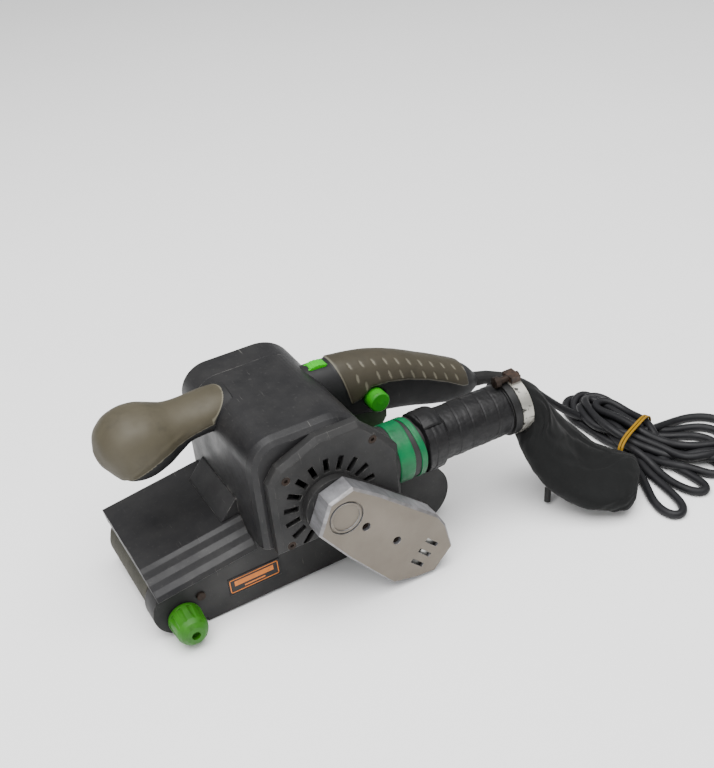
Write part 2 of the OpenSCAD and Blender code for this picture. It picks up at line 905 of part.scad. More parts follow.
// Brass brush holder with its carbon brush, on one side of the commutator
module brush(side) {
    reach = side > 0 ? 36 : 46;
    color([0.72, 0.58, 0.3])
    translate([motor_x, 27, motor_z])
        rotate([0, side > 0 ? 0 : 180, 0])
            difference() {
                block([12.4, -4, -5.5], [reach - run_gap, 4, 5.5]);
                block([15, -5, -3.6], [28, -2.6, 3.6]);
            }
}
module front_brush() { brush(-1); }
module rear_brush() { brush(1); }

// ---------- rear handle ----------

// Everything that is cut out of the handle's shell
module handle_cutouts() {
    span_y(-30, 30)
        housing_outline();
    block([84, -8.6, 70], [116, 8.6, 87.9]);
    drum(dial_r + gap, -5 - gap, 5 + gap, dial_at[0], dial_at[1]);
    drum(pin_r + run_gap, -11.2, 11.2, trigger_pivot[0], trigger_pivot[1]);
    drum(8 + gap, -40, -2, lock_at[0], lock_at[1]);
    for (s = handle_screws)
        drum(screw_head_r + run_gap, 13.5, 40, s[0], s[1]);
    all_screws(run_gap);
    rod_x(4, 180, 230, 0, 68.5);
    rod_x(6.4, 195.2, 230, 0, 68.5);
}
dial_r = 17;
dial_at = [62, 117.6];
lock_at = [99, 99];
trigger_pivot = [88, 86];
pin_r = 2;

// Ribs inside the handle that hold the switch and the board, and the posts of its screws
module handle_ribs() {
    for (side = [-1, 1])
        block([114, side > 0 ? 5.05 : -18, 88], [122, side > 0 ? 18 : -5.05, 101]);
    block([70, -18, 101], [80, -10.65, 105]);
    for (s = handle_screws)
        drum(post_r, -16, 16, s[0], s[1]);
}

// Moulded half of the handle: -1 left, 1 right
module handle_half(side) {
    color([0.16, 0.16, 0.17])
    difference() {
        union() {
            difference() {
                station_loft(handle_line, 1.6);
                station_loft(handle_line, 1.6 + wall, [-3, -3]);
            }
            intersection() {
                station_loft(handle_line, 2.6, [-3, -3]);
                handle_ribs();
            }
        }
        handle_cutouts();
        block([0, side > 0 ? -60 : 0, 0], [300, side > 0 ? 0 : 60, 200]);
    }
}
module handle_left() { handle_half(-1); }
module handle_right() { handle_half(1); }

// Soft saddle moulded over the top and sides of the handle
module handle_grip() {
    lower_edge = [
        [70, 150], [76, 122], [80, 101], [88, 103], [97, 110], [112, 108.5], [128, 104], [146, 96.5],
        [164, 86.5], [178, 77], [188, 74], [190, 100], [120, 150]
    ];
    color([0.4, 0.385, 0.32])
    difference() {
        station_loft(handle_line);
        station_loft(handle_line, 1.6, [-3, 3]);
        difference() {
            block([0, -60, 0], [300, 60, 200]);
            span_y(-59, 59)
                polygon(lower_edge);
        }
        drum(8 + gap, -40, 0, lock_at[0], lock_at[1]);
        rod_x(6.4, 195.2, 230, 0, 68.5);
        drum(dial_r + gap, -5 - gap, 5 + gap, dial_at[0], dial_at[1]);
        span_y(-30, 30)
            housing_outline();
    }
}

// Finger trigger on its hinge pin, inside the front of the handle
module trigger() {
    color([0.18, 0.3, 0.15])
    union() {
        span_y(-7.6, 7.6)
            polygon([
                [84.5, 89.5], [91, 89.5], [95, 84.5], [113, 81], [112.5, 72], [108, 65.5], [100, 66],
                [92, 70.5], [86, 79]
            ]);
        drum(pin_r, -11, 11, trigger_pivot[0], trigger_pivot[1]);
    }
}

// Small coil that pushes the trigger back down
module trigger_spring() {
    turns = 4;
    steps = 8;
    foot = [101, 0, 84.2];
    rise = 2.9 / (turns * steps);
    color([0.7, 0.71, 0.72])
        cord_tube([
            for (i = [0 : turns * steps])
                foot + [2 * cos(360 * i / steps), 2 * sin(360 * i / steps), i * rise]
        ], 0.7, 6);
}

// Round lock-on button in the left half
module lock_button() {
    color([0.2, 0.55, 0.13])
    translate([lock_at[0], -9.5, lock_at[1]])
        rotate([90, 0, 0])
            rotate_extrude()
                polygon([[0, 0], [4, 0], [4, 4], [8, 4], [8, 15.5], [7, 16.5], [0, 16.8]]);
}

// Speed wheel standing a little proud of the handle's top
module speed_dial() {
    ribs = 36;
    color([0.3, 0.7, 0.18])
    difference() {
        drum(dial_r, -4.4, 4.4, dial_at[0], dial_at[1]);
        drum(2.5 + run_gap, -5, 5, dial_at[0], dial_at[1]);
        around(ribs, dial_at[0], dial_at[1])
            translate([0, 0, dial_r + 0.3])
                rotate([90, 0, 0])
                    cylinder(r = 0.7, h = 12, center = true, $fn = 16);
    }
}

// Trigger switch inside the handle
module switch_body() {
    color([0.1, 0.1, 0.1])
        block([96, -5, 87.6], [124, 5, 101]);
}

// Speed control board with the wheel's spindle
module speed_board() {
    y = [-10.6, -9];
    color([0.15, 0.35, 0.2])
    union() {
        block([67, y[0], 98], [84, y[1], 118]);
        block([dial_at[0] - 4, y[0], dial_at[1] - 3], [72, y[1], dial_at[1] + 3]);
        drum(2.5, y[0], 5.2, dial_at[0], dial_at[1]);
    }
}

// ---------- front knob ----------

knob_split = [[-110, 91], [-84, 100.5], [-50, 118], [-20, 126], [10, 130]];
module knob_side(upper) {
    far = upper ? 200 : 0;
    span_y(-60, 60)
        polygon(concat(knob_split, [[10, far], [-110, far]]));
}

// Black underside of the front knob and its neck
module knob_base() {
    color([0.14, 0.14, 0.145])
    difference() {
        intersection() {
            station_loft(knob_line, 0.8, n = 28, p = 0.95);
            knob_side(false);
        }
        span_y(-60, 60)
            housing_outline();
    }
}

// Soft cap over the top of the knob and neck
module knob_grip() {
    color([0.475, 0.46, 0.4])
    difference() {
        intersection() {
            station_loft(knob_line, n = 28, p = 0.95);
            knob_side(true);
        }
        span_y(-60, 60)
            housing_outline();
    }
}

// Blank bordered badge on the side plate
module maker_plate() {
    badge = [40, 15];
    color([0.84, 0.52, 0.19])
    translate([-50, -side_y, 14])
        rotate([90, -1.5, 0])
            difference() {
                linear_extrude(0.5)
                    square(badge);
                translate([0, 0, 0.3])
                    linear_extrude(1)
                        difference() {
                            translate([1.2, 1.2])
                                square(badge - [2.4, 2.4]);
                            translate([2.2, 2.2])
                                square(badge - [4.4, 4.4]);
                        }
            }
}

// ---------- dust pipe and bag ----------

// Pipe pushed into the outlet stub
module adapter_pipe() {
    color([0.15, 0.15, 0.155])
    difference() {
        union() {
            rod_x(pipe_r, stub_x0 + 8, pipe_x1, -outlet_y, outlet_z);
            rod_x(pipe_r + 2.6, clamp_x0 - 6, clamp_x0 - 0.2, -outlet_y, outlet_z);
        }
        rod_x(pipe_r - 2.5, stub_x0, pipe_x1 + 1, -outlet_y, outlet_z);
    }
}

// Two turns of coloured tape round the end of the stub
module green_tape() {
    color([0.15, 0.62, 0.44])
    for (band = [[80.5, 93], [97.5, 101.5]])
        tube_x(outlet_r + 0.9, outlet_r, band[0], band[1], -outlet_y, outlet_z);
}

// Cloth tape wound over the pipe, thicker where it starts
module black_tape() {
    color([0.22, 0.22, 0.235])
    union() {
        tube_x(pipe_r + 4.4, pipe_r, stub_x1 + 2, 122, -outlet_y, outlet_z);
        tube_x(pipe_r + 1.4, pipe_r, 122, clamp_x0 - 6, -outlet_y, outlet_z);
    }
}

// Steel band that holds the bag's mouth on the pipe
module hose_clamp() {
    color([0.62, 0.62, 0.6])
    union() {
        tube_x(clamp_r + 0.9, clamp_r, clamp_x0, clamp_x1, -outlet_y, outlet_z);
        difference() {
            block(
                [clamp_x0 + 0.5, -outlet_y - 6, outlet_z + clamp_r + 0.3],
                [clamp_x1 - 0.5, -outlet_y + 6, outlet_z + clamp_r + 6.4]
            );
            rod_x(worm_r, clamp_x0 - 1, clamp_x1 + 1, -outlet_y, worm_z);
        }
    }
}
clamp_r = pipe_r + 2.2;
worm_r = 2.6;
worm_z = outlet_z + clamp_r + 3.6;

// Worm screw of the clamp
module clamp_screw() {
    head = [clamp_x0 - 11, clamp_x0 - 7];
    color([0.35, 0.26, 0.2])
    union() {
        rod_x(worm_r, head[1] - 1, clamp_x1 + 1, -outlet_y, worm_z);
        difference() {
            rod_x(4.2, head[0], head[1], -outlet_y, worm_z);
            block(
                [head[0] - 1, -outlet_y - 0.6, worm_z - 5],
                [head[0] + 1, -outlet_y + 0.6, worm_z + 5]
            );
        }
    }
}

// Dust bag: its mouth round the pipe, its body slumped on the ground
bag_line = [
    // [x, y, z], half width, half height, direction of the bag there
    [[clamp_x0, -outlet_y, outlet_z], 20.6, 20.6, [1, 0, 0]],
    [[195, -outlet_y, outlet_z], 20.6, 20.6, [1, 0, 0]],
    [[201, -64, 78], 23, 22, [0.85, -0.1, -0.5]],
    [[208, -68, 64], 28, 20, [0.5, -0.3, -0.8]],
    [[215, -76, 45], 32, 18, [0.5, -0.45, -0.7]],
    [[223, -87, 29], 33, 16, [0.6, -0.65, -0.45]],
    [[233, -99, 19], 32, 15, [0.7, -0.7, -0.15]],
    [[243, -109, 16], 30, 14, [0.7, -0.7, 0]],
    [[252, -117, 15], 24, 12, [0.7, -0.7, 0]],
    [[257, -121, 14], 13, 7, [0.7, -0.7, 0]]
];
module bag_loft(line, inset = 0) {
    loft([
        for (s = line)
            let (t = unit(s[3]), u = unit(cross([0, 0, 1], t)), v = cross(t, u))
            soft_ring(s[0], u, v, s[1] - inset, s[2] - inset, 20)
    ]);
}
module dust_bag() {
    color([0.18, 0.185, 0.185])
    difference() {
        bag_loft(bag_line);
        rod_x(pipe_r, 180, 195.5, -outlet_y, outlet_z);
        bag_loft([for (i = [1 : len(bag_line) - 2]) bag_line[i]], 2.2);
    }
}

// Plastic rail that closes the bag's seam, poking out under it
module bag_rail() {
    color([0.12, 0.12, 0.12])
        cord_tube([[203, -88, 13], [200, -91, 2.7]], 5, 12);
}

// ---------- cord ----------

// Tapered rubber sleeve where the cord leaves the handle
module strain_relief() {
    color([0.12, 0.12, 0.13])
    loft([
        for (s = [[[186, 0, 68.5], 3.9], [[195.2, 0, 68.5], 3.9], [[195.4, 0, 68.4], 6.2],
                  [[206, -1, 66.5], 5.6], [[218, -4, 63], 4.9], [[229, -7, 58], 4.3],
                  [[238, -10, 52], 3.9]])
            let (t = s[0][0] < 200 ? [1, 0, 0] : unit([0.9, -0.22, -0.37]),
                 u = unit(cross([0, 0, 1], t)), v = cross(t, u))
            [for (k = [0 : 15]) s[0] + s[1] * (u * cos(22.5 * k) + v * sin(22.5 * k))]
    ]);
}
module cord_lead() {
    color([0.12, 0.12, 0.13])
        cord_tube(lead_route, cord_d);
}

// Gathered cord as one solid: narrow at the far end, tied at its waist, fanned out at the near end
module cord_hank() {
    color([0.12, 0.12, 0.13])
    translate([0, 0, hank_low])
        linear_extrude(hank_h)
            for (circles = [hank_far, hank_near])
                hull()
                    for (c = circles)
                        translate([c[0], c[1]])
                            circle(c[2], $fn = 32);
}

// Rubber band that ties the hank at its waist
module rubber_band() {
    waist = hank_far[1];
    half = waist[2] + 0.3;
    tilt = 20;
    color([0.67, 0.55, 0.16])
    translate([waist[0], waist[1], 0])
        rotate(tilt)
            difference() {
                block([-half - 1, -2.5, hank_low - 1], [half + 1, 2.5, hank_low + hank_h + 1]);
                block([-half, -4, hank_low], [half, 4, hank_low + hank_h]);
            }
}
module cord_tail() {
    color([0.12, 0.12, 0.13])
        cord_tube(tail_route, cord_d);
}

// Moulded plug with two round pins
module mains_plug() {
    start = tail_route[len(tail_route) - 1];
    body = [
        [0, 3.8, 3.8], [8, 4.4, 4.4], [10, 7, 6.5], [18, 12, 9], [26, 15, 10.4], [31, 15, 10.4],
        [32, 14, 9.4]
    ];
    color([0.12, 0.12, 0.13])
    loft([for (b = body) soft_ring(start + [b[0], 0, 0], [0, 1, 0], [0, 0, 1], b[1], b[2], 20)]);
    color([0.75, 0.72, 0.6])
    for (side = [-1, 1])
        rod_x(2, start[0] + 31, start[0] + 50, start[1] + side * 8.5, start[2], $fn = 24);
}

// Screws of the casings, with a short one in the side plate
module casing_screws() {
    color([0.3, 0.3, 0.3])
    difference() {
        all_screws();
        for (s = vent_screws)
            drum(1.5, -vent_face_y - 1, -vent_face_y + 1.2, s[0], s[1], $fn = 6);
        for (u = cover_screws)
            on_screw_axis(u)
                drum(1.5, -cover_face_y, -cover_face_y + 4, 0, 0, $fn = 6);
        for (s = cap_screws)
            drum(1.5, split_y + 21, split_y + 30, s[0], s[1], $fn = 6);
        for (s = handle_screws)
            drum(1.5, 14.5, 20, s[0], s[1], $fn = 6);
    }
}

base_frame();
front_hood();
motor_housing();
motor_end_cap();
vent_cover();
belt_case();
drive_belt_cover();
handle_left();
handle_right();
handle_grip();
knob_base();
knob_grip();
maker_plate();
platen();
platen_pad();
sanding_belt();
tension_yoke();
front_axle();
front_roller();
tension_spring();
tension_lever();
tracking_screw();
tracking_knob();
drive_roller();
drive_shaft();
driven_pulley();
inner_roller_bearing();
outer_roller_bearing();
toothed_belt();
pinion();
motor_shaft();
armature();
commutator();
cooling_fan();
dust_fan();
stator();
right_motor_bearing();
left_motor_bearing();
front_brush();
rear_brush();
trigger();
trigger_spring();
lock_button();
speed_dial();
switch_body();
speed_board();
adapter_pipe();
green_tape();
black_tape();
hose_clamp();
clamp_screw();
dust_bag();
bag_rail();
strain_relief();
cord_lead();
cord_hank();
rubber_band();
cord_tail();
mains_plug();
casing_screws();
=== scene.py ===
"""Handheld belt sander: its materials, soft goods and cord, in a plain studio."""

import json
import math

import bpy
import numpy as np
from mathutils import Matrix, Vector, noise


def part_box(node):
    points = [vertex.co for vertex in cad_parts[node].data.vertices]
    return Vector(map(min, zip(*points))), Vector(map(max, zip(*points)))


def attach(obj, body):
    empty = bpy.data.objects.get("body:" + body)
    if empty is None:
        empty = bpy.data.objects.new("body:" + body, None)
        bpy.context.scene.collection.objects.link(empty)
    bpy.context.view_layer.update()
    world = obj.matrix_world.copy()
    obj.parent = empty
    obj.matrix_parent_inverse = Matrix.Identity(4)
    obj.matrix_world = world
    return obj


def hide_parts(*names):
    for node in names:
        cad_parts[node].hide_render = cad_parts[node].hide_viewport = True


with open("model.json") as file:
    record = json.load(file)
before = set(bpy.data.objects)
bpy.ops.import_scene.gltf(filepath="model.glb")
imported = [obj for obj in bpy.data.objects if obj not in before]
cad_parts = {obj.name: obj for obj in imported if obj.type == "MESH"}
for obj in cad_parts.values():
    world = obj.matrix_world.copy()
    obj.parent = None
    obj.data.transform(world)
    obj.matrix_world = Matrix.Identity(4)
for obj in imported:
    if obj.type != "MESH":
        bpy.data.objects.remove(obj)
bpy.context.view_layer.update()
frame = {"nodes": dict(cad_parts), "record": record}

MM = 0.001
MACHINE = "machine"


# ---------- camera ----------


def add_camera():
    """Looks down at the machine from its front left, with the slight roll of a hand-held view."""
    azimuth, elevation, roll = (math.radians(v) for v in (-25.72, 32.97, 6.05))
    back = Vector((
        math.sin(azimuth) * math.cos(elevation),
        -math.cos(azimuth) * math.cos(elevation),
        math.sin(elevation),
    ))
    level = Vector((math.cos(azimuth), math.sin(azimuth), 0))
    upright = back.cross(level)
    right = level * math.cos(roll) - upright * math.sin(roll)
    up = upright * math.cos(roll) + level * math.sin(roll)
    data = bpy.data.cameras.new("camera")
    data.sensor_width = 36
    data.lens = 56.25
    data.clip_start = 0.01
    camera = bpy.data.objects.new("camera", data)
    bpy.context.scene.collection.objects.link(camera)
    camera.matrix_world = Matrix((right, up, back)).transposed().to_4x4()
    camera.location = (-0.2304, -0.6736, 0.5888)
    bpy.context.scene.camera = camera


# ---------- shapes ----------


def spline(points, count):
    """A smooth line of count points through the given ones, whatever their number of columns."""
    p = np.array(points, float)
    steps = np.linalg.norm(np.diff(p[:, :3], axis=0), axis=1)
    knots = np.concatenate([[0], np.cumsum(np.maximum(steps, 1e-6))])
    slopes = np.gradient(p, knots, axis=0)
    at = np.linspace(0, knots[-1], count)
    i = np.clip(np.searchsorted(knots, at, side="right") - 1, 0, len(p) - 2)
    gap = (knots[i + 1] - knots[i])[:, None]
    t = (at - knots[i])[:, None] / gap
    return (
        (2 * t**3 - 3 * t**2 + 1) * p[i]
        + (t**3 - 2 * t**2 + t) * gap * slopes[i]
        + (3 * t**2 - 2 * t**3) * p[i + 1]
        + (t**3 - t**2) * gap * slopes[i + 1]
    )


def soft_power(value, power):
    """A sine or cosine pushed towards a squarer ring."""
    return math.copysign(abs(value) ** power, value)


def make_mesh(name, points, faces):
    """A smooth-shaded piece from points in millimetres, riding on the machine's fixed body."""
    mesh = bpy.data.meshes.new(name)
    mesh.from_pydata([tuple(c * MM for c in p) for p in points], [], faces)
    mesh.validate()
    mesh.polygons.foreach_set("use_smooth", [True] * len(mesh.polygons))
    piece = bpy.data.objects.new(name, mesh)
    bpy.context.scene.collection.objects.link(piece)
    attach(piece, MACHINE)
    return piece


def ring_faces(rings, around, closed_ends=True):
    """Quads between rings that have the same number of points, with a cap at each end."""
    faces = []
    for j in range(rings - 1):
        for i in range(around):
            k = (i + 1) % around
            faces.append((j * around + i, j * around + k, (j + 1) * around + k, (j + 1) * around + i))
    if closed_ends:
        faces.append(tuple(range(around - 1, -1, -1)))
        faces.append(tuple((rings - 1) * around + i for i in range(around)))
    return faces


def paint(piece, name, values):
    """Stores one number per point of a piece, for its material to read."""
    layer = piece.data.attributes.new(name, "FLOAT", "POINT")
    layer.data.foreach_set("value", values)


def step(value, edge, width):
    """0 below an edge and 1 above it, turning smoothly over a width."""
    t = min(max((value - edge) / width + 0.5, 0), 1)
    return t * t * (3 - 2 * t)


def bump_at(x, y, half_x, half_y):
    """1 at the middle of a soft oval and 0 outside it."""
    return max(0.0, 1 - (x / half_x) ** 2 - (y / half_y) ** 2)


def lump(point, scale, seed=0.0):
    """Smooth noise between about -1 and 1, at a wavelength of scale millimetres."""
    return noise.noise(Vector((point[0] / scale + seed, point[1] / scale, point[2] / scale)))


def along(line, x):
    """The height at x of a line of [x, z] points."""
    return float(np.interp(x, [p[0] for p in line], [p[1] for p in line]))


# ---------- cord ----------

CORD_D = 6.6
LEAD = [
    (238, -10, 52), (251, -14, 38), (264, -17, 25), (276, -20, 14), (286, -26, 8), (292, -36, 5.5),
    (296, -48, 5), (299, -62, 5),
]
TAIL = [
    (318, -105, 9), (328, -120, 9), (334, -130, 9), (340, -134.5, 8), (346, -136.5, 8),
    (352, -137.5, 9.5), (358, -138, 11),
]
WAIST = (300, -72)
WAIST_ACROSS = (0.92, 0.39)
# Each turn of the hank: where it crosses the waist on its way to the near loop and back from it,
# as [steps of a cord's diameter across, height], then the near loop's and the far loop's points
TURNS = [
    ([-2, 4], [-1, 4],
     [(280, -106, 6), (263, -138, 5), (260, -157, 4), (270, -166, 4), (281, -156, 5), (280, -136, 8),
      (286, -108, 9)],
     [(287, -36, 6), (284, -8, 6), (288, 6, 6), (299, 12, 5), (308, 4, 5), (308, -24, 5)]),
    ([0, 4], [-1.5, 10],
     [(304, -100, 5), (309, -128, 4), (312, -148, 4), (302, -156, 4), (293, -144, 8), (290, -112, 11)],
     [(290, -40, 11), (288, -10, 11), (295, 5, 11), (306, 8, 10), (314, -2, 9), (312, -30, 8)]),
    ([1, 4], [-0.5, 10],
     [(318, -94, 5), (334, -112, 4), (341, -132, 4), (330, -145, 5), (316, -136, 9), (304, -102, 13)],
     [(296, -42, 14), (294, -14, 15), (301, 0, 15), (311, 0, 13), (316, -14, 10), (314, -36, 9)]),
    ([2, 4], [-1, 15.6],
     [(326, -80, 5), (346, -90, 4), (355, -108, 4), (347, -125, 5), (330, -122, 9), (304, -98, 14)],
     [(292, -44, 16), (291, -16, 17), (298, -4, 18), (309, -6, 17), (312, -24, 15), (310, -46, 13)]),
    ([1.5, 10], [0, 15.6],
     [(326, -74, 8), (352, -80, 5), (367, -97, 4), (360, -118, 4), (338, -128, 8), (308, -104, 15)],
     [(290, -46, 14), (286, -22, 13), (290, -8, 14), (301, -10, 17), (306, -30, 18), (306, -52, 15)]),
    ([0.5, 10], [1, 15.6],
     [(330, -70, 10), (356, -68, 6), (377, -84, 4), (376, -108, 4), (352, -120, 7), (322, -104, 14)],
     [(300, -46, 18), (296, -26, 19), (300, -14, 20), (310, -18, 19), (315, -36, 16), (312, -54, 14)]),
]


def waist_point(slot):
    """A place in the tied waist of the hank."""
    return (
        WAIST[0] + WAIST_ACROSS[0] * slot[0] * CORD_D,
        WAIST[1] + WAIST_ACROSS[1] * slot[0] * CORD_D,
        slot[1],
    )


def cord_route():
    """The lead, every turn of the hank, and the tail out to the plug."""
    route = list(LEAD)
    for out, back, near, far in TURNS:
        route += [waist_point(out), *near, waist_point(back), *far]
    return route + [waist_point([2.3, 12]), *TAIL]


def bend_force(p):
    """How strongly each inner point is bent away from its neighbours' smooth curve."""
    return p[:-4] - 4 * p[1:-3] + 6 * p[2:-2] - 4 * p[3:-1] + p[4:]


def line_length(line):
    """The length of a line of points."""
    return float(np.linalg.norm(np.diff(line, axis=0), axis=1).sum())


def settle(route):
    """Lays a route down: strands push each other apart, rest on the floor and bend evenly."""
    spacing, rounds, smoothings, stiffness = 5.0, 140, 60, 0.055
    held_lead, held_tail, near_along = 110, 8, 4
    p = spline(route, int(line_length(spline(route, len(route) * 12)) / spacing))
    index = np.arange(len(p))
    apart = np.abs(index[:, None] - index[None, :]) > near_along
    loose = np.ones(len(p), bool)
    loose[: int(held_lead / spacing)] = False
    loose[-held_tail:] = False
    for _ in range(rounds):
        difference = p[:, None, :] - p[None, :, :]
        distance = np.linalg.norm(difference, axis=2) + 1e-6
        push = np.where(apart & (distance < CORD_D * 1.03), (CORD_D * 1.03 - distance) * 0.3, 0)
        move = (difference / distance[:, :, None] * push[:, :, None]).sum(1)
        move[1:-1] += 0.03 * ((p[:-2] + p[2:]) / 2 - p[1:-1])
        move[2:-2] -= stiffness * bend_force(p)
        move[:, 2] -= 0.12
        p[loose] += np.clip(move, -1.5, 1.5)[loose]
        p[:, 2] = np.maximum(p[:, 2], CORD_D / 2 + 0.2)
    for _ in range(smoothings):
        p[2:-2] -= stiffness * bend_force(p)
    p[2:, 2] = np.maximum(p[2:, 2], CORD_D / 2 + 0.1)
    return p


def add_cord():
    """The mains cord from its strain relief through the tied hank to the plug."""
    line = settle(cord_route())
    data = bpy.data.curves.new("mains_cord", "CURVE")
    data.dimensions = "3D"
    # Each point's radius carries the thickness, so that the curve's box is its true one
    data.bevel_depth = 1
    data.bevel_resolution = 4
    data.use_fill_caps = True
    path = data.splines.new("POLY")
    fine = spline(line, len(line) * 2)
    path.points.add(len(fine) - 1)
    for point, at in zip(path.points, fine):
        point.co = (*(at * MM), 1)
        point.radius = CORD_D / 2 * MM
    path.use_smooth = True
    cord = bpy.data.objects.new("mains_cord", data)
    bpy.context.scene.collection.objects.link(cord)
    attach(cord, MACHINE)
    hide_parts("cord_lead", "cord_hank", "cord_tail")
    band = add_rubber_band(line)
    return cord, band


def add_rubber_band(line):
    """A rubber band wound twice round the hank's waist."""
    across = Vector((*WAIST_ACROSS, 0)).normalized()
    ahead = Vector((-across.y, across.x, 0))
    middle = Vector((*WAIST, 0))
    offsets = np.array([(Vector(p) - middle).to_tuple() for p in line])
    turns, steps, thick, width = 2, 64, 0.8, 2.2
    reach, clear = 5, 0.6
    near = np.abs(offsets @ np.array(ahead)) < reach
    side = offsets[near] @ np.array(across)
    low, high = side.min() - CORD_D / 2, side.max() + CORD_D / 2
    top = offsets[near][:, 2].max() + CORD_D / 2 + clear
    half, centre = (high - low) / 2 + clear, (high + low) / 2
    points = []
    for i in range(turns * steps + 1):
        t = 2 * math.pi * i / steps
        slide = (i / (turns * steps) - 0.5) * 5 + 1.6 * math.sin(t + 1)
        for edge, lift in ((-1, 0), (1, 0), (1, 1), (-1, 1)):
            a = half + lift * thick
            b = top / 2 + lift * thick
            spot = (
                middle
                + across * (centre + a * soft_power(math.cos(t), 0.6))
                + ahead * (slide + edge * width / 2 * (1 - 0.25 * lift))
            )
            spot.z = top / 2 + 0.9 + b * soft_power(math.sin(t), 0.6)
            points.append(spot)
    band = make_mesh("rubber_band_turns", points, ring_faces(turns * steps + 1, 4))
    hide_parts("rubber_band")
    return band


# ---------- knob and handle ----------

# Stations along X of the knob and of the handle: x, middle z, half height, half width
KNOB_LINE = [
    (-104.5, 121.5, 7, 8), (-101, 122.3, 14.5, 16), (-94, 123.5, 21.5, 23), (-84, 124.5, 25.5, 27),
    (-73, 125, 25.5, 27.5), (-62, 125.5, 22.5, 24.5), (-53, 126.5, 18.5, 20.5),
    (-44, 128, 15, 18.5), (-32, 129, 14, 18.5), (-18, 129.5, 14, 18.5), (-6, 131, 11.8, 16.5),
]
# Heights where the knob's soft cap ends, as [x, z]
KNOB_SPLIT = [
    (-110, 88), (-97, 99), (-88, 109), (-80, 115), (-72, 119), (-62, 121.5), (-54, 122.5),
    (-44, 124), (-30, 127), (10, 131),
]
HANDLE_LINE = [
    (42, 112.5, 22.5, 17), (60, 110.5, 24.5, 18.5), (80, 107.5, 25.5, 19), (100, 103.5, 25.5, 19),
    (120, 97.5, 24, 18.5), (140, 90, 21.5, 18), (160, 81.5, 19.5, 17), (176, 75, 17, 15.5),
    (188, 70, 13, 12), (195, 68, 8, 8),
]
# Front and lower edges of the handle's soft saddle, as [x, z], and where it ends
GRIP_FRONT = [(70, 150), (76, 122), (80, 101)]
GRIP_LOWER = [
    (80, 101), (88, 103), (97, 110), (112, 108.5), (128, 104), (146, 96.5), (164, 86.5), (178, 77),
    (188, 74),
]
GRIP_END = 183


def station_rings(line, rings, around, power):
    """Rings of a body lofted along X, each point with its ring's middle and its angle."""
    rows = []
    stations = spline([(s[0], 0, s[1], s[2], s[3]) for s in line], rings)
    for j, s in enumerate(stations):
        before, after = stations[max(j - 1, 0)], stations[min(j + 1, rings - 1)]
        ahead = Vector((after[0] - before[0], 0, after[2] - before[2])).normalized()
        up = Vector((-ahead.z, 0, ahead.x))
        middle = Vector((s[0], 0, s[2]))
        row = []
        for i in range(around):
            t = 2 * math.pi * i / around
            side = Vector((0, s[4] * soft_power(math.cos(t), power), 0))
            row.append((middle, middle + side + up * (s[3] * soft_power(math.sin(t), power)), t))
        rows.append(row)
    return rows


def relief_mesh(name, rows, relief, attribute):
    """Turns station rings into a piece; relief gives each point's offset and its painted value."""
    points, values = [], []
    for row in rows:
        for middle, point, angle in row:
            offset, value = relief(point, angle)
            points.append(point + (point - middle).normalized() * offset)
            values.append(value)
    piece = make_mesh(name, points, ring_faces(len(rows), len(rows[0])))
    paint(piece, attribute, values)
    return piece


def add_knob():
    """Front knob and neck: soft cap above a black underside, with a groove where they meet."""

    tongue_x, tongue_half = -26, 18.5

    def relief(p, _):
        above = p.z - along(KNOB_SPLIT, p.x)
        groove = math.exp(-((above / 0.9) ** 2))
        rim = math.exp(-(((above - 6) / 1.5) ** 2)) * (1 - step(p.x, -48, 12))
        tongue = 1
        if p.x > tongue_x:
            tongue = step(tongue_half - math.hypot(1.25 * (p.x - tongue_x), p.y), 0, 1.2)
        return 0.7 * rim - 0.5 * groove + 0.15 * lump(p, 9), step(above, 0, 1.2) * tongue

    rows = station_rings(KNOB_LINE, 110, 128, 0.95)
    # Rounds off the front end
    tip = [
        [(m, m + (q - m) * share + Vector((-reach, 0, 0)), t) for m, q, t in rows[0]]
        for share, reach in ((0.05, 1.3), (0.45, 1.1), (0.8, 0.6))
    ]
    knob = relief_mesh("front_knob", tip + rows, relief, "soft")
    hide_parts("knob_base", "knob_grip")
    return knob


def grip_dimples(x, around):
    """How deep the grip's rows of small dimples are at x and at an angle round the handle."""
    spots = [(87, 151, 1.2, 0), (93, 168, 1.2, 0)]
    for row, first, last, count in ((122, 84, 182, 11), (151, 104, 172, 8)):
        for k in range(count):
            spots.append((first + (last - first) * k / (count - 1), row, 1.1, 0.07))
    return max(
        bump_at(x - spot - (around - row) * slant, (around - row) * 0.32, half, 3.2)
        for spot, row, half, slant in spots
    )


def handle_relief(p, angle):
    """Offset of the handle's surface and 1 where the soft grip covers it."""
    behind_front = step(p.x, along([(z, x) for x, z in reversed(GRIP_FRONT)], p.z), 1.6)
    lower_x, lower_z = GRIP_LOWER[0]
    grip = behind_front * step(p.z, along(GRIP_LOWER, p.x) if p.x > lower_x else lower_z, 1.6)
    grip *= 1 - step(p.x, GRIP_END, 1.6)
    offset = 1.6 * (grip - 1)
    dimple = grip_dimples(p.x, math.degrees(angle))
    offset -= 0.55 * min(dimple * 2, 1) * grip
    # Slot of the speed dial, pocket of the trigger and well of the lock button
    if p.z > 112:
        near_dial = 1 - step(math.hypot(p.x - 62, p.z - 117.6), 17.8, 0.6)
        offset -= 6 * near_dial * (1 - step(abs(p.y), 5.2, 0.6))
    if p.z < 100 and 83 < p.x < 117:
        offset -= 7 * (1 - step(abs(p.y), 8.6, 0.8)) * step(p.x, 84, 1) * (1 - step(p.x, 116, 1))
    if p.y < 0:
        offset -= 2.2 * (1 - step(math.hypot(p.x - 99, p.z - 99), 8.8, 0.8))
    # In the dimples the value drops to one half, so the material draws them pale with the same colour as its
    # painted highlight along the grip's edges
    return offset + 0.1 * lump(p, 7), grip * (1 - min(dimple * 1.6, 1) * 0.5)


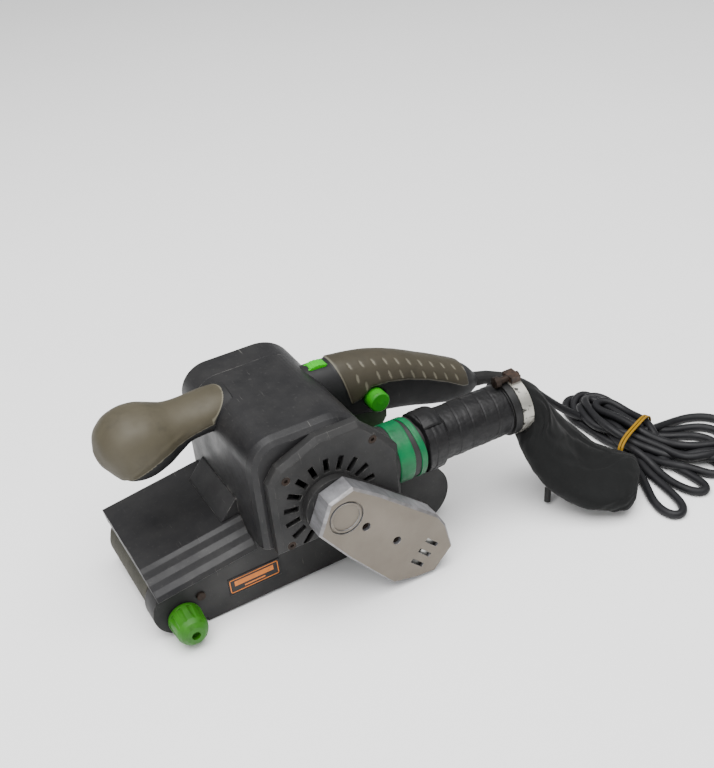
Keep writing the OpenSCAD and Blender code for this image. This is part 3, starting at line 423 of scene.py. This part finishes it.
def add_handle():
    """Rear handle: a black shell with a soft saddle over its top and sides."""
    rows = station_rings(HANDLE_LINE, 190, 150, 0.85)
    handle = relief_mesh("rear_handle", rows, handle_relief, "soft")
    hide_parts("handle_left", "handle_right", "handle_grip")
    return handle


# ---------- tapes ----------

# Middle of the dust pipe
OUTLET_Y = -63
OUTLET_Z = 82


def wrapped_tube(name, x_at, radius_at, rings, around):
    """A wrapping round the dust pipe: x_at and radius_at give each point from its share and angle."""
    points = []
    for j in range(rings):
        for i in range(around):
            t = 2 * math.pi * i / around
            share = j / (rings - 1)
            r = radius_at(share, t)
            points.append((x_at(share, t), OUTLET_Y + r * math.cos(t), OUTLET_Z + r * math.sin(t)))
    return make_mesh(name, points, ring_faces(rings, around, closed_ends=False))


def band_profile(share, low, high):
    """Cross section of a thin band: up its first edge, across its top and down its second edge."""
    rise = min(share * 8, (1 - share) * 8, 1)
    return low + (high - low) * math.sin(rise * math.pi / 2)


def green_band(label, first, last, drift, phase, inner):
    """One turn of green tape between two places along the pipe, bowing by its drift."""

    def x_at(share, t):
        bow = drift * math.sin(t + phase) + 0.25 * math.sin(5 * t)
        return first + (last - first) * min(max((share - 0.06) / 0.88, 0), 1) + bow

    def radius_at(share, t):
        crease = 0.12 * lump((share * 9, 6 * math.cos(t), 6 * math.sin(t)), 1.6)
        return band_profile(share, inner, inner + 0.85) + crease

    piece = wrapped_tube(f"green_tape_{label}", x_at, radius_at, 26, 160)
    return piece


def add_green_tape():
    """Two turns of tape round the stub that drift apart on the near side."""
    low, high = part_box("green_tape")
    inner = (high[1] - low[1]) / 2 / MM - 0.95
    wide = green_band("wide", 80.4, 92.6, 0.7, 0.4, inner)
    narrow = green_band("narrow", 95.4, 100.2, 1.9, -1.5, inner)
    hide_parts("green_tape")
    return wide, narrow


def add_black_tape():
    """Cloth tape wound along the pipe, thick and creased where it starts, with a lifted end."""
    low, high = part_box("black_tape")
    x0, x1 = low[0] / MM, high[0] / MM
    outer = (high[1] - low[1]) / 2 / MM
    pitch = 11.0

    def x_at(share, t):
        ragged = 0.9 * math.sin(3 * t + 1) * (share < 0.02) + 0.8 * math.sin(2 * t) * (share > 0.98)
        return x0 + (x1 - x0) * share + ragged

    def radius_at(share, t):
        x = x0 + (x1 - x0) * share
        thick = 1 - step(x + 1.5 * math.sin(2 * t + 0.5), 121, 3)
        base = 19.0 + 3.1 * thick
        turn = ((x - x0) / pitch + t / (2 * math.pi)) % 1
        lap = 0.5 * step(turn, 0.08, 0.1) * (1 - 0.6 * turn)
        spot = (x, 20 * math.cos(t), 20 * math.sin(t))
        wrinkle = 0.28 * lump(spot, 7) + 0.16 * lump(spot, 2.6, 5)
        ridge = 0.45 * thick * max(0, lump((x * 2.2, 9 * t, 0), 9, 3))
        end = min(share * 60, (1 - share) * 60, 1)
        return min(base + lap + wrinkle + ridge, outer) * end + 18.4 * (1 - end)

    tape = wrapped_tube("black_tape_winding", x_at, radius_at, 220, 150)
    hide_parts("black_tape")
    return tape, add_tape_flap(x0)


def add_tape_flap(x0):
    """The tape's loose end, folded back over itself on the top near side."""
    columns, rows = 26, 14
    points = []
    for j in range(rows):
        for i in range(columns):
            u, v = i / (columns - 1), j / (rows - 1)
            t = math.radians(62 + 62 * v)
            fold = 1.3 * math.sin(math.pi * u) * (0.5 + 0.5 * v) + 0.5 * lump((u * 20, v * 14, 0), 5)
            r = 22.65 + max(fold, 0)
            x = x0 + 1.2 + 15 * u + 1.5 * math.sin(3 * v)
            points.append((x, OUTLET_Y - r * math.cos(math.pi - t), OUTLET_Z + r * math.sin(t)))
    faces = [
        (j * columns + i, j * columns + i + 1, (j + 1) * columns + i + 1, (j + 1) * columns + i)
        for j in range(rows - 1) for i in range(columns - 1)
    ]
    flap = make_mesh("black_tape_flap", points, faces)
    solid = flap.modifiers.new("thickness", "SOLIDIFY")
    solid.thickness = 0.35 * MM
    solid.offset = 0
    return flap


# ---------- dust bag ----------

# Stations down the middle of the bag: x, y, z, half width, half height, and its direction there
BAG_LINE = [
    (184.8, -63, 82, 20.4, 20.4, 1, 0, 0), (188, -63, 82, 20.4, 20.4, 1, 0, 0),
    (192, -63, 81.6, 20.5, 20.3, 1, 0, -0.1), (197, -63.5, 78, 21.5, 18, 0.8, -0.1, -0.6),
    (203, -67, 66, 27, 16.5, 0.45, -0.25, -0.85), (210, -74, 48, 33, 16.5, 0.45, -0.4, -0.8),
    (219, -85, 32, 36, 15.6, 0.6, -0.6, -0.5), (230, -97, 21, 36, 14.8, 0.7, -0.7, -0.15),
    (241, -108, 17, 34.5, 14, 0.7, -0.7, 0), (251, -117, 16, 32, 12.8, 0.7, -0.7, 0),
    (257, -122.5, 15, 27, 10, 0.7, -0.7, 0), (259.5, -124.5, 14.5, 18, 6, 0.7, -0.7, 0),
]


def bag_relief(point, angle, share):
    """Offset of the bag's cloth from its plain loft, and how folded it is there."""
    free = step(share, 0.1, 0.14)
    pleats = 0.9 * math.sin(13 * angle + 2 * lump(point, 30))
    pleats *= math.exp(-((share - 0.16) / 0.07) ** 2)
    from_crease = (math.degrees(angle) - 62) % 360 - 14 * math.sin(5 * share)
    crease = math.exp(-(from_crease / 9) ** 2)
    wave = math.sin(2.4 * angle + 7 * share + 2.2 * lump(point, 45))
    tuck = math.exp(-((wave - 0.9) / 0.16) ** 2) * step(share, 0.2, 0.2)
    drape = 2.2 * lump(point, 24) + 0.9 * lump(point, 9, 3) - 2.6 * crease - 1.3 * tuck
    return pleats + drape * free - 0.6, max(crease, 0.7 * tuck) * free


def add_bag():
    """Limp cloth bag: gathered under the clamp, folded on its top, and slumped flat on the floor."""
    rings, around, neck_rings = 150, 144, 30
    pipe_side = Vector((0, 1, 0))
    points, folds = [], []
    for j, (*middle, half_width, half_height, along_x, along_y, along_z) in enumerate(
            spline(BAG_LINE, rings)):
        middle = Vector(middle)
        ahead = Vector((along_x, along_y, along_z)).normalized()
        side = Vector((-ahead.y, ahead.x, 0)).normalized() if abs(ahead.z) < 0.99 else pipe_side
        if j < neck_rings:
            side = pipe_side.lerp(side, step(j, 18, 24)).normalized()
        up = ahead.cross(side).normalized()
        if up.z < 0:
            up = -up
        for i in range(around):
            t = 2 * math.pi * i / around
            across = side * (half_width * soft_power(math.cos(t), 0.85))
            point = middle + across + up * (half_height * soft_power(math.sin(t), 0.85))
            offset, fold = bag_relief(point, t, j / (rings - 1))
            point += (point - middle).normalized() * offset
            point.z = max(point.z, 0.4 + 0.3 * abs(lump(point, 6)))
            points.append(point)
            folds.append(fold)
    bag = make_mesh("dust_bag_cloth", points, ring_faces(rings, around))
    paint(bag, "fold", folds)
    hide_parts("dust_bag")
    return bag


# ---------- badge ----------


def add_badge_print():
    """A printed frame and two plain bars on the blank badge."""
    low, high = (Vector(v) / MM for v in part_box("maker_plate"))
    face = low.y - 0.04
    tilt = math.radians(1.5)
    corner = Vector((low.x, face, low.z + 1.0))

    def spot(u, v):
        across = u * math.cos(tilt) - v * math.sin(tilt)
        return corner + Vector((across, 0, u * math.sin(tilt) + v * math.cos(tilt)))

    long, tall = 40, 13.6
    side, end, line = 1.0, 1.2, 0.7
    bars = [
        (end, side, long - end, side + line), (end, tall - side - line, long - end, tall - side),
        (end, side, end + line, tall - side), (long - end - line, side, long - end, tall - side),
        (5, 6.2, long - 5, 10.4), (12, 3.2, long - 12, 4.4),
    ]
    points, faces = [], []
    for u0, v0, u1, v1 in bars:
        n = len(points)
        front = [spot(u0, v0), spot(u1, v0), spot(u1, v1), spot(u0, v1)]
        points += front + [p + Vector((0, 0.06, 0)) for p in front]
        faces += [(n, n + 1, n + 2, n + 3), (n + 7, n + 6, n + 5, n + 4)]
        faces += [(n + k, n + 4 + k, n + 4 + (k + 1) % 4, n + (k + 1) % 4) for k in range(4)]
    badge = make_mesh("badge_print", points, faces)
    badge.data.polygons.foreach_set("use_smooth", [False] * len(badge.data.polygons))
    return badge


# ---------- materials ----------


class Look:
    """A material, with short ways to add nodes to it."""

    def __init__(self, name):
        self.material = bpy.data.materials.new(name)
        self.material.use_nodes = True
        self.tree = self.material.node_tree
        self.shader = self.tree.nodes["Principled BSDF"]
        self.place = self.add("ShaderNodeTexCoord").outputs["Object"]

    def add(self, kind, inputs=None, **settings):
        """Adds a node with its settings, and feeds its inputs."""
        node = self.tree.nodes.new(kind)
        for key, value in settings.items():
            setattr(node, key, value)
        for key, value in (inputs or {}).items():
            self.feed(node.inputs[key], value)
        return node

    def feed(self, socket, value):
        """Links an output to a socket, or sets the socket to a constant."""
        if isinstance(value, bpy.types.NodeSocket):
            self.tree.links.new(value, socket)
        else:
            socket.default_value = value

    def set(self, **values):
        """Feeds the shader's inputs, named with underscores for spaces."""
        for key, value in values.items():
            self.feed(self.shader.inputs[key.replace("_", " ")], value)

    def noise(self, scale, detail=4, stretch=(1, 1, 1), turn=(0, 0, 0)):
        """Noise with scale waves per metre, stretched along turned axes."""
        place = self.add("ShaderNodeMapping", {
            "Vector": self.place, "Scale": stretch, "Rotation": [math.radians(a) for a in turn],
        })
        node = self.add("ShaderNodeTexNoise", {
            "Vector": place.outputs[0], "Scale": scale, "Detail": detail, "Roughness": 0.6,
        })
        return node.outputs[0]

    def between(self, value, low, high, to_low=0.0, to_high=1.0):
        """Maps a value from one range to another, held at both ends."""
        node = self.add("ShaderNodeMapRange", {
            "Value": value, "From Min": low, "From Max": high, "To Min": to_low, "To Max": to_high,
        })
        return node.outputs[0]

    def math(self, operation, a, b=0.0):
        """A sum, product or other operation on one or two values."""
        node = self.add("ShaderNodeMath", operation=operation)
        self.feed(node.inputs[0], a)
        self.feed(node.inputs[1], b)
        return node.outputs[0]

    def mix(self, share, first, second):
        """A colour between two, each a colour or a socket."""
        node = self.add("ShaderNodeMix", data_type="RGBA")
        for index, value in ((0, share), (6, first), (7, second)):
            self.feed(node.inputs[index], value)
        return node.outputs[2]

    def attribute(self, name):
        """A number painted on the piece's points."""
        return self.add("ShaderNodeAttribute", attribute_name=name).outputs["Fac"]

    def scratches(self, amount):
        """Thin marks in a few directions, more of them as amount goes to 1."""
        cut = 0.75 - 0.06 * amount
        total = None
        for turn in ((0, 25, 40), (70, -20, 10), (10, 80, -35)):
            line = self.between(self.noise(9, 2, (150, 4, 4), turn), cut, cut + 0.03)
            patch = self.between(self.noise(26, 2, turn=turn), 0.52, 0.62)
            mark = self.math("MULTIPLY", line, patch)
            total = mark if total is None else self.math("MAXIMUM", total, mark)
        return total

    def worn_edge(self, radius, low=0.02, high=0.25):
        """1 along outer edges, broken up by noise; the bent normal that finds them is returned too."""
        bevel = self.add("ShaderNodeBevel", {"Radius": radius}, samples=6)
        normal = self.add("ShaderNodeNewGeometry").outputs["Normal"]
        dot = self.add("ShaderNodeVectorMath", operation="DOT_PRODUCT")
        self.feed(dot.inputs[0], bevel.outputs[0])
        self.feed(dot.inputs[1], normal)
        bent = self.math("SUBTRACT", 1.0, dot.outputs["Value"])
        edge = self.between(bent, low, high)
        worn = self.math("MULTIPLY", edge, self.between(self.noise(140, 5), 0.48, 0.6))
        return worn, bevel.outputs[0]

    def bump(self, height, strength, distance, normal=None):
        node = self.add("ShaderNodeBump", {"Height": height, "Strength": strength, "Distance": distance})
        if normal is not None:
            self.feed(node.inputs["Normal"], normal)
        return node.outputs[0]


def linear(r, g, b):
    """A display colour from 0 to 255 as the linear colour that shaders use."""
    return (*((c / 255 / 12.92) if c <= 10 else ((c / 255 + 0.055) / 1.055) ** 2.4 for c in (r, g, b)), 1)


def moulded_plastic(name, colour, worn, rough=0.5, scratched=0.6, edge=0.9, grain=0.25):
    """Hard moulded plastic with fine grain, pale scratches and rubbed edges."""
    look = Look(name)
    cloud = look.between(look.noise(28, 6), 0.3, 0.75)
    base = look.mix(look.math("MULTIPLY", cloud, 0.1), colour, worn)
    marks_and_painted_highlight = look.scratches(scratched)
    base = look.mix(look.math("MULTIPLY", marks_and_painted_highlight, 0.5), base, worn)
    rubbed, normal = look.worn_edge(0.9 * MM)
    base = look.mix(look.math("MULTIPLY", rubbed, edge), base, worn)
    dust = look.between(look.noise(420, 3), 0.62, 0.75)
    base = look.mix(look.math("MULTIPLY", dust, 0.1), base, worn)
    uneven = look.between(look.noise(45, 5), 0.3, 0.7, rough - 0.1, rough + 0.12)
    pits = look.bump(look.noise(2600, 2), grain, 0.06 * MM, normal)
    look.set(
        Base_Color=base, Roughness=uneven, Specular_IOR_Level=0.3,
        Normal=look.bump(marks_and_painted_highlight, 0.4, -0.08 * MM, pits),
    )
    return look.material


def two_shot(name, soft, soft_worn, hard, hard_worn, marks_and_painted_highlight):
    """Soft rubber where the painted attribute is 1 and hard plastic where it is 0, with a painted highlight
    along the soft part's edges.
    """
    look = Look(name)
    mask = look.between(look.attribute("soft"), 0.2, 0.4)
    # Pale line where the painted value falls from 0.97 to 0.6: a painted highlight along the lower edge of
    # the soft cap and the edges of the grip
    lit = look.between(look.attribute("soft"), 0.97, 0.6)
    soft_tone = look.mix(look.between(look.noise(24, 6), 0.3, 0.72), soft, soft_worn)
    rubbed = look.between(look.noise(70, 5, (1, 2, 1)), 0.52, 0.7)
    soft_tone = look.mix(look.math("MULTIPLY", rubbed, 0.5), soft_tone, soft_worn)
    # Paints the pale highlight colour over that line, with the last argument as its strength
    soft_tone = look.mix(look.math("MULTIPLY", lit, marks_and_painted_highlight), soft_tone, linear(140, 136, 120))
    grime = look.between(look.noise(55, 6, turn=(30, 10, 0)), 0.56, 0.72)
    soft_tone = look.mix(look.math("MULTIPLY", grime, 0.4), soft_tone, linear(42, 39, 30))
    hard_tone = look.mix(look.scratches(0.5), hard, hard_worn)
    rough = look.between(look.noise(60, 4), 0.3, 0.7, 0.5, 0.7)
    look.set(
        Base_Color=look.mix(mask, hard_tone, soft_tone),
        Roughness=rough, Specular_IOR_Level=0.35,
        Normal=look.bump(look.noise(1900, 3), 0.22, 0.1 * MM),
    )
    return look.material


def coloured_plastic(name, colour, shade, rough=0.42):
    """Bright dyed plastic, dusty in patches and rubbed on its edges."""
    look = Look(name)
    base = look.mix(look.between(look.noise(60, 5), 0.3, 0.7), colour, shade)
    grime = look.between(look.noise(190, 5), 0.56, 0.7)
    base = look.mix(look.math("MULTIPLY", grime, 0.45), base, linear(34, 48, 18))
    rubbed, normal = look.worn_edge(0.6 * MM)
    base = look.mix(look.math("MULTIPLY", rubbed, 0.3), base, linear(130, 150, 80))
    look.set(
        Base_Color=base, Roughness=look.between(look.noise(80, 4), 0.3, 0.7, rough, rough + 0.2),
        Specular_IOR_Level=0.3, Normal=look.bump(look.noise(1500, 2), 0.15, 0.08 * MM, normal),
    )
    return look.material


def cast_metal(name):
    """Painted casting: matte champagne face, brighter bare sides, scratches and dark stains."""
    look = Look(name)
    side = look.add("ShaderNodeSeparateXYZ", {"Vector": look.add("ShaderNodeNewGeometry").outputs["Normal"]})
    facing = look.between(look.math("ABSOLUTE", side.outputs["Y"]), 0.55, 0.85)
    cloud = look.between(look.noise(20, 6), 0.32, 0.7)
    face = look.mix(cloud, linear(112, 104, 93), linear(96, 89, 79))
    bare = look.mix(look.between(look.noise(50, 5, (1, 1, 4)), 0.35, 0.7), linear(150, 150, 153),
                    linear(108, 107, 109))
    base = look.mix(facing, bare, face)
    marks_and_painted_highlight = look.scratches(0.8)
    base = look.mix(look.math("MULTIPLY", marks_and_painted_highlight, 0.55), base, linear(76, 70, 62))
    stain = look.between(look.noise(38, 7, turn=(12, 40, 5)), 0.6, 0.72)
    base = look.mix(look.math("MULTIPLY", stain, 0.4), base, linear(88, 80, 68))
    rubbed, normal = look.worn_edge(0.8 * MM)
    base = look.mix(look.math("MULTIPLY", rubbed, 0.7), base, linear(170, 167, 160))
    metal = look.between(facing, 0, 1, 0.75, 0.25)
    look.set(
        Base_Color=base, Metallic=metal,
        Roughness=look.between(look.noise(70, 5), 0.3, 0.7, 0.38, 0.58),
        Normal=look.bump(look.noise(2200, 3), 0.25, 0.06 * MM, normal),
    )
    return look.material


def bare_metal(name, colour, stain, dirty=0.5, rough=0.35):
    """Bright or rusty steel with dark patches."""
    look = Look(name)
    patch = look.between(look.noise(130, 6), 0.5 - 0.1 * dirty, 0.66)
    base = look.mix(look.math("MULTIPLY", patch, dirty), colour, stain)
    marks_and_painted_highlight = look.scratches(0.9)
    base = look.mix(look.math("MULTIPLY", marks_and_painted_highlight, 0.5), base, stain)
    rubbed, normal = look.worn_edge(0.4 * MM)
    look.set(
        Base_Color=base, Metallic=look.between(patch, 0, 1, 0.95, 0.45),
        Roughness=look.between(patch, 0, 1, rough, rough + 0.3),
        Normal=look.bump(look.noise(900, 4), 0.2, 0.05 * MM, normal),
    )
    return look.material


def clamp_metal(name):
    """Dirty steel band with black scuffs, rusty where the worm's housing stands up from it."""
    look = Look(name)
    height = look.add("ShaderNodeSeparateXYZ", {"Vector": look.place}).outputs["Z"]
    rust = look.between(height, 0.1026, 0.1046)
    scuff = look.between(look.noise(120, 7, (1, 1, 2)), 0.54, 0.6)
    band_tone = look.mix(scuff, linear(176, 174, 166), linear(40, 39, 36))
    rusty = look.mix(look.between(look.noise(300, 6), 0.4, 0.62), linear(62, 46, 36), linear(30, 23, 18))
    metal = look.math("SUBTRACT", 0.9, look.math("MULTIPLY", look.math("MAXIMUM", rust, scuff), 0.6))
    look.set(
        Base_Color=look.mix(rust, band_tone, rusty), Metallic=metal,
        Roughness=look.between(look.noise(200, 5), 0.3, 0.7, 0.35, 0.6),
        Normal=look.bump(look.noise(800, 5), 0.3, 0.08 * MM),
    )
    return look.material


def abrasive_cloth(name):
    """Worn grit on cloth, pale where it is loaded with dust."""
    look = Look(name)
    grit = look.noise(2400, 4)
    loaded = look.between(look.noise(35, 6, (1, 3, 1)), 0.35, 0.65)
    base = look.mix(loaded, linear(42, 41, 32), linear(60, 58, 48))
    base = look.mix(look.between(grit, 0.5, 0.62), base, linear(44, 42, 33))
    look.set(Base_Color=base, Roughness=0.85, Normal=look.bump(grit, 0.7, 0.25 * MM))
    return look.material


def rubber(name, colour, worn, rough=0.6, grain=900):
    """Plain rubber or cord sheath, greyed here and there."""
    look = Look(name)
    base = look.mix(look.between(look.noise(40, 5), 0.35, 0.75), colour, worn)
    scuff = look.between(look.noise(260, 5), 0.62, 0.74)
    base = look.mix(look.math("MULTIPLY", scuff, 0.5), base, worn)
    look.set(
        Base_Color=base, Roughness=look.between(look.noise(90, 4), 0.3, 0.7, rough - 0.08, rough + 0.12),
        Specular_IOR_Level=0.25, Normal=look.bump(look.noise(grain, 3), 0.15, 0.08 * MM),
    )
    return look.material


def woven(look, pitch):
    """Height of a plain weave, with threads pitch metres apart along two turned axes."""
    waves = []
    for turn in ((0, 0, 45), (0, 90, 45)):
        place = look.add("ShaderNodeMapping", {
            "Vector": look.place, "Rotation": [math.radians(a) for a in turn],
        })
        wave = look.add("ShaderNodeTexWave", {
            "Vector": place.outputs[0], "Scale": 0.314 / pitch, "Distortion": 0.4,
        })
        waves.append(wave.outputs["Fac"])
    return look.math("MAXIMUM", *waves)


def bag_cloth(name):
    """Dense dusty cloth, paler along its folds."""
    look = Look(name)
    weave = woven(look, 0.7 * MM)
    base = look.mix(look.between(look.noise(22, 6), 0.3, 0.72), linear(7, 8, 8), linear(11, 12, 12))
    dust = look.between(look.noise(300, 5), 0.56, 0.74)
    base = look.mix(look.math("MULTIPLY", dust, 0.3), base, linear(24, 24, 22))
    base = look.mix(look.math("MULTIPLY", look.attribute("fold"), 0.3), base, linear(12, 13, 13))
    base = look.mix(look.math("MULTIPLY", weave, 0.16), base, linear(8, 9, 9))
    look.set(
        Base_Color=base, Roughness=0.78, Specular_IOR_Level=0.2, Sheen_Weight=0.03, Sheen_Roughness=0.5,
        Normal=look.bump(weave, 0.35, 0.12 * MM, look.bump(look.noise(120, 5), 0.5, 0.6 * MM)),
    )
    return look.material


def tape(name, colour, worn, rough, wrinkle):
    """Wound tape with fine creases across it and worn ridges."""
    look = Look(name)
    crease = look.noise(210, 6, (0.4, 1, 1), (0, 0, 20))
    base = look.mix(look.between(look.noise(60, 5), 0.34, 0.7), colour, worn)
    base = look.mix(look.math("MULTIPLY", look.between(crease, 0.6, 0.72), 0.5), base, worn)
    dirt = look.between(look.noise(95, 6, turn=(20, 5, 60)), 0.58, 0.7)
    base = look.mix(look.math("MULTIPLY", dirt, 0.4), base, linear(22, 24, 22))
    look.set(
        Base_Color=base, Roughness=look.between(crease, 0.35, 0.7, rough, rough + 0.2),
        Specular_IOR_Level=0.3, Normal=look.bump(crease, wrinkle, 0.7 * MM),
    )
    return look.material


def printed(name, colour, worn):
    """Foil or ink with small chips and stains."""
    look = Look(name)
    chips = look.between(look.noise(360, 5), 0.6, 0.68)
    base = look.mix(look.between(look.noise(90, 5), 0.35, 0.7), colour, worn)
    base = look.mix(look.math("MULTIPLY", chips, 0.55), base, linear(92, 66, 44))
    look.set(
        Base_Color=base, Roughness=look.between(look.noise(120, 4), 0.3, 0.7, 0.35, 0.55),
        Normal=look.bump(look.noise(700, 3), 0.2, 0.06 * MM),
    )
    return look.material


def make_looks():
    """Every material, under the record's material slots."""
    worn_black = linear(112, 110, 106)
    black = linear(18, 18, 19)
    return {
        "housing_plastic": moulded_plastic("housing", linear(14, 14, 17), worn_black, 0.46),
        "base_plastic": moulded_plastic("base", linear(21, 21, 22), worn_black, 0.55, 0.5, 0.8),
        "handle_plastic": moulded_plastic("hard_black", black, linear(86, 85, 82), 0.45, 0.3, 0.5),
        "olive_rubber": two_shot(
            "soft_olive", linear(58, 53, 40), linear(70, 65, 51), black, linear(62, 61, 58), 0.4),
        "green_plastic": coloured_plastic("knob_green", linear(40, 106, 6), linear(30, 84, 4)),
        "button_green": coloured_plastic("button_green", linear(44, 148, 22), linear(32, 120, 18)),
        "dial_green": coloured_plastic("dial_green", linear(48, 180, 16), linear(36, 146, 12)),
        # The trigger's green is darkened and greyed as painted shade, for its place in shadow under the
        # handle
        "trigger_green": coloured_plastic("trigger_green", linear(40, 68, 28), linear(30, 54, 24)),
        "cast_cover": cast_metal("cast_cover"),
        "steel": bare_metal("steel", linear(176, 176, 172), linear(50, 48, 44), 0.55),
        "dark_steel": bare_metal("dark_steel", linear(56, 46, 40), linear(30, 24, 20), 0.8, 0.5),
        "iron": bare_metal("iron", linear(110, 110, 110), linear(60, 57, 54), 0.4, 0.5),
        "copper": bare_metal("copper", linear(184, 110, 58), linear(96, 58, 34), 0.4),
        "abrasive": abrasive_cloth("abrasive"),
        "black_rubber": rubber("black_rubber", linear(20, 20, 20), linear(40, 39, 38)),
        "cord_sheath": rubber("cord_sheath", linear(15, 15, 18), linear(28, 28, 30), 0.5),
        "mustard_rubber": rubber("mustard_rubber", linear(150, 112, 10), linear(112, 84, 8), 0.5, 1600),
        "orange_badge": moulded_plastic("badge_field", black, linear(60, 58, 54), 0.4, 0.4, 0.4),
        "green_tape": tape("green_tape", linear(0, 100, 56), linear(0, 78, 44), 0.34, 0.35),
        "black_tape": tape("black_tape", linear(9, 9, 11), linear(17, 16, 17), 0.42, 0.7),
        "bag_cloth": bag_cloth("bag_cloth"),
        "cork": rubber("cork", linear(130, 88, 50), linear(96, 62, 36), 0.8),
        "board": printed("board", linear(20, 76, 40), linear(16, 56, 30)),
    }


def set_material(piece, material):
    """Gives a piece one material in place of what it had."""
    piece.data.materials.clear()
    piece.data.materials.append(material)


# ---------- studio ----------


def add_light(name, place, aim, size, power):
    """A rectangular light of a size in metres and a power in watts, aimed at a point."""
    data = bpy.data.lights.new(name, "AREA")
    data.shape = "RECTANGLE"
    data.size, data.size_y = size
    data.energy = power
    light = bpy.data.objects.new(name, data)
    bpy.context.scene.collection.objects.link(light)
    light.location = place
    light.rotation_euler = (Vector(aim) - Vector(place)).to_track_quat("-Z", "Y").to_euler()


def add_studio():
    """A pale floor under a large soft light, with a weaker one at the side."""
    mesh = bpy.data.meshes.new("floor")
    reach = 6
    mesh.from_pydata([(-reach, -reach, 0), (reach, -reach, 0), (reach, reach, 0), (-reach, reach, 0)],
                     [], [(0, 1, 2, 3)])
    floor = bpy.data.objects.new("floor", mesh)
    bpy.context.scene.collection.objects.link(floor)
    look = Look("pale_floor")
    tone = look.mix(look.between(look.noise(3, 2), 0.3, 0.7), (0.93, 0.93, 0.93, 1), (0.95, 0.95, 0.95, 1))
    look.set(Base_Color=tone, Roughness=0.9, Specular_IOR_Level=0.1)
    floor.data.materials.append(look.material)
    world = bpy.data.worlds.new("studio")
    world.use_nodes = True
    world.node_tree.nodes["Background"].inputs["Color"].default_value = (1, 1, 1, 1)
    world.node_tree.nodes["Background"].inputs["Strength"].default_value = 0.5
    bpy.context.scene.world = world
    add_light("key", (-0.1, -0.3, 1.8), (0.08, -0.03, 0.05), (2.2, 2.0), 90)
    add_light("side", (-1.3, -0.9, 0.7), (0.05, -0.03, 0.08), (1.0, 0.8), 9)


# ---------- assembly ----------

add_camera()
cord, band = add_cord()
knob = add_knob()
handle = add_handle()
green_tapes = add_green_tape()
black_tapes = add_black_tape()
bag = add_bag()
badge = add_badge_print()
add_studio()

looks = make_looks()
for part in frame["record"]["subparts"]:
    set_material(frame["nodes"][part["node"]], looks[part["material_slot"]])
set_material(cord, looks["cord_sheath"])
set_material(band, looks["mustard_rubber"])
set_material(frame["nodes"]["hose_clamp"], clamp_metal("clamp_steel"))
set_material(knob, looks["olive_rubber"])
set_material(handle, two_shot(
    "soft_grip", linear(49, 45, 34), linear(60, 55, 43), linear(18, 18, 19), linear(62, 61, 58), 0.4))
for piece in green_tapes:
    set_material(piece, looks["green_tape"])
for piece in black_tapes:
    set_material(piece, looks["black_tape"])
set_material(bag, looks["bag_cloth"])
set_material(badge, printed("badge_ink", linear(206, 112, 0), linear(172, 92, 0)))
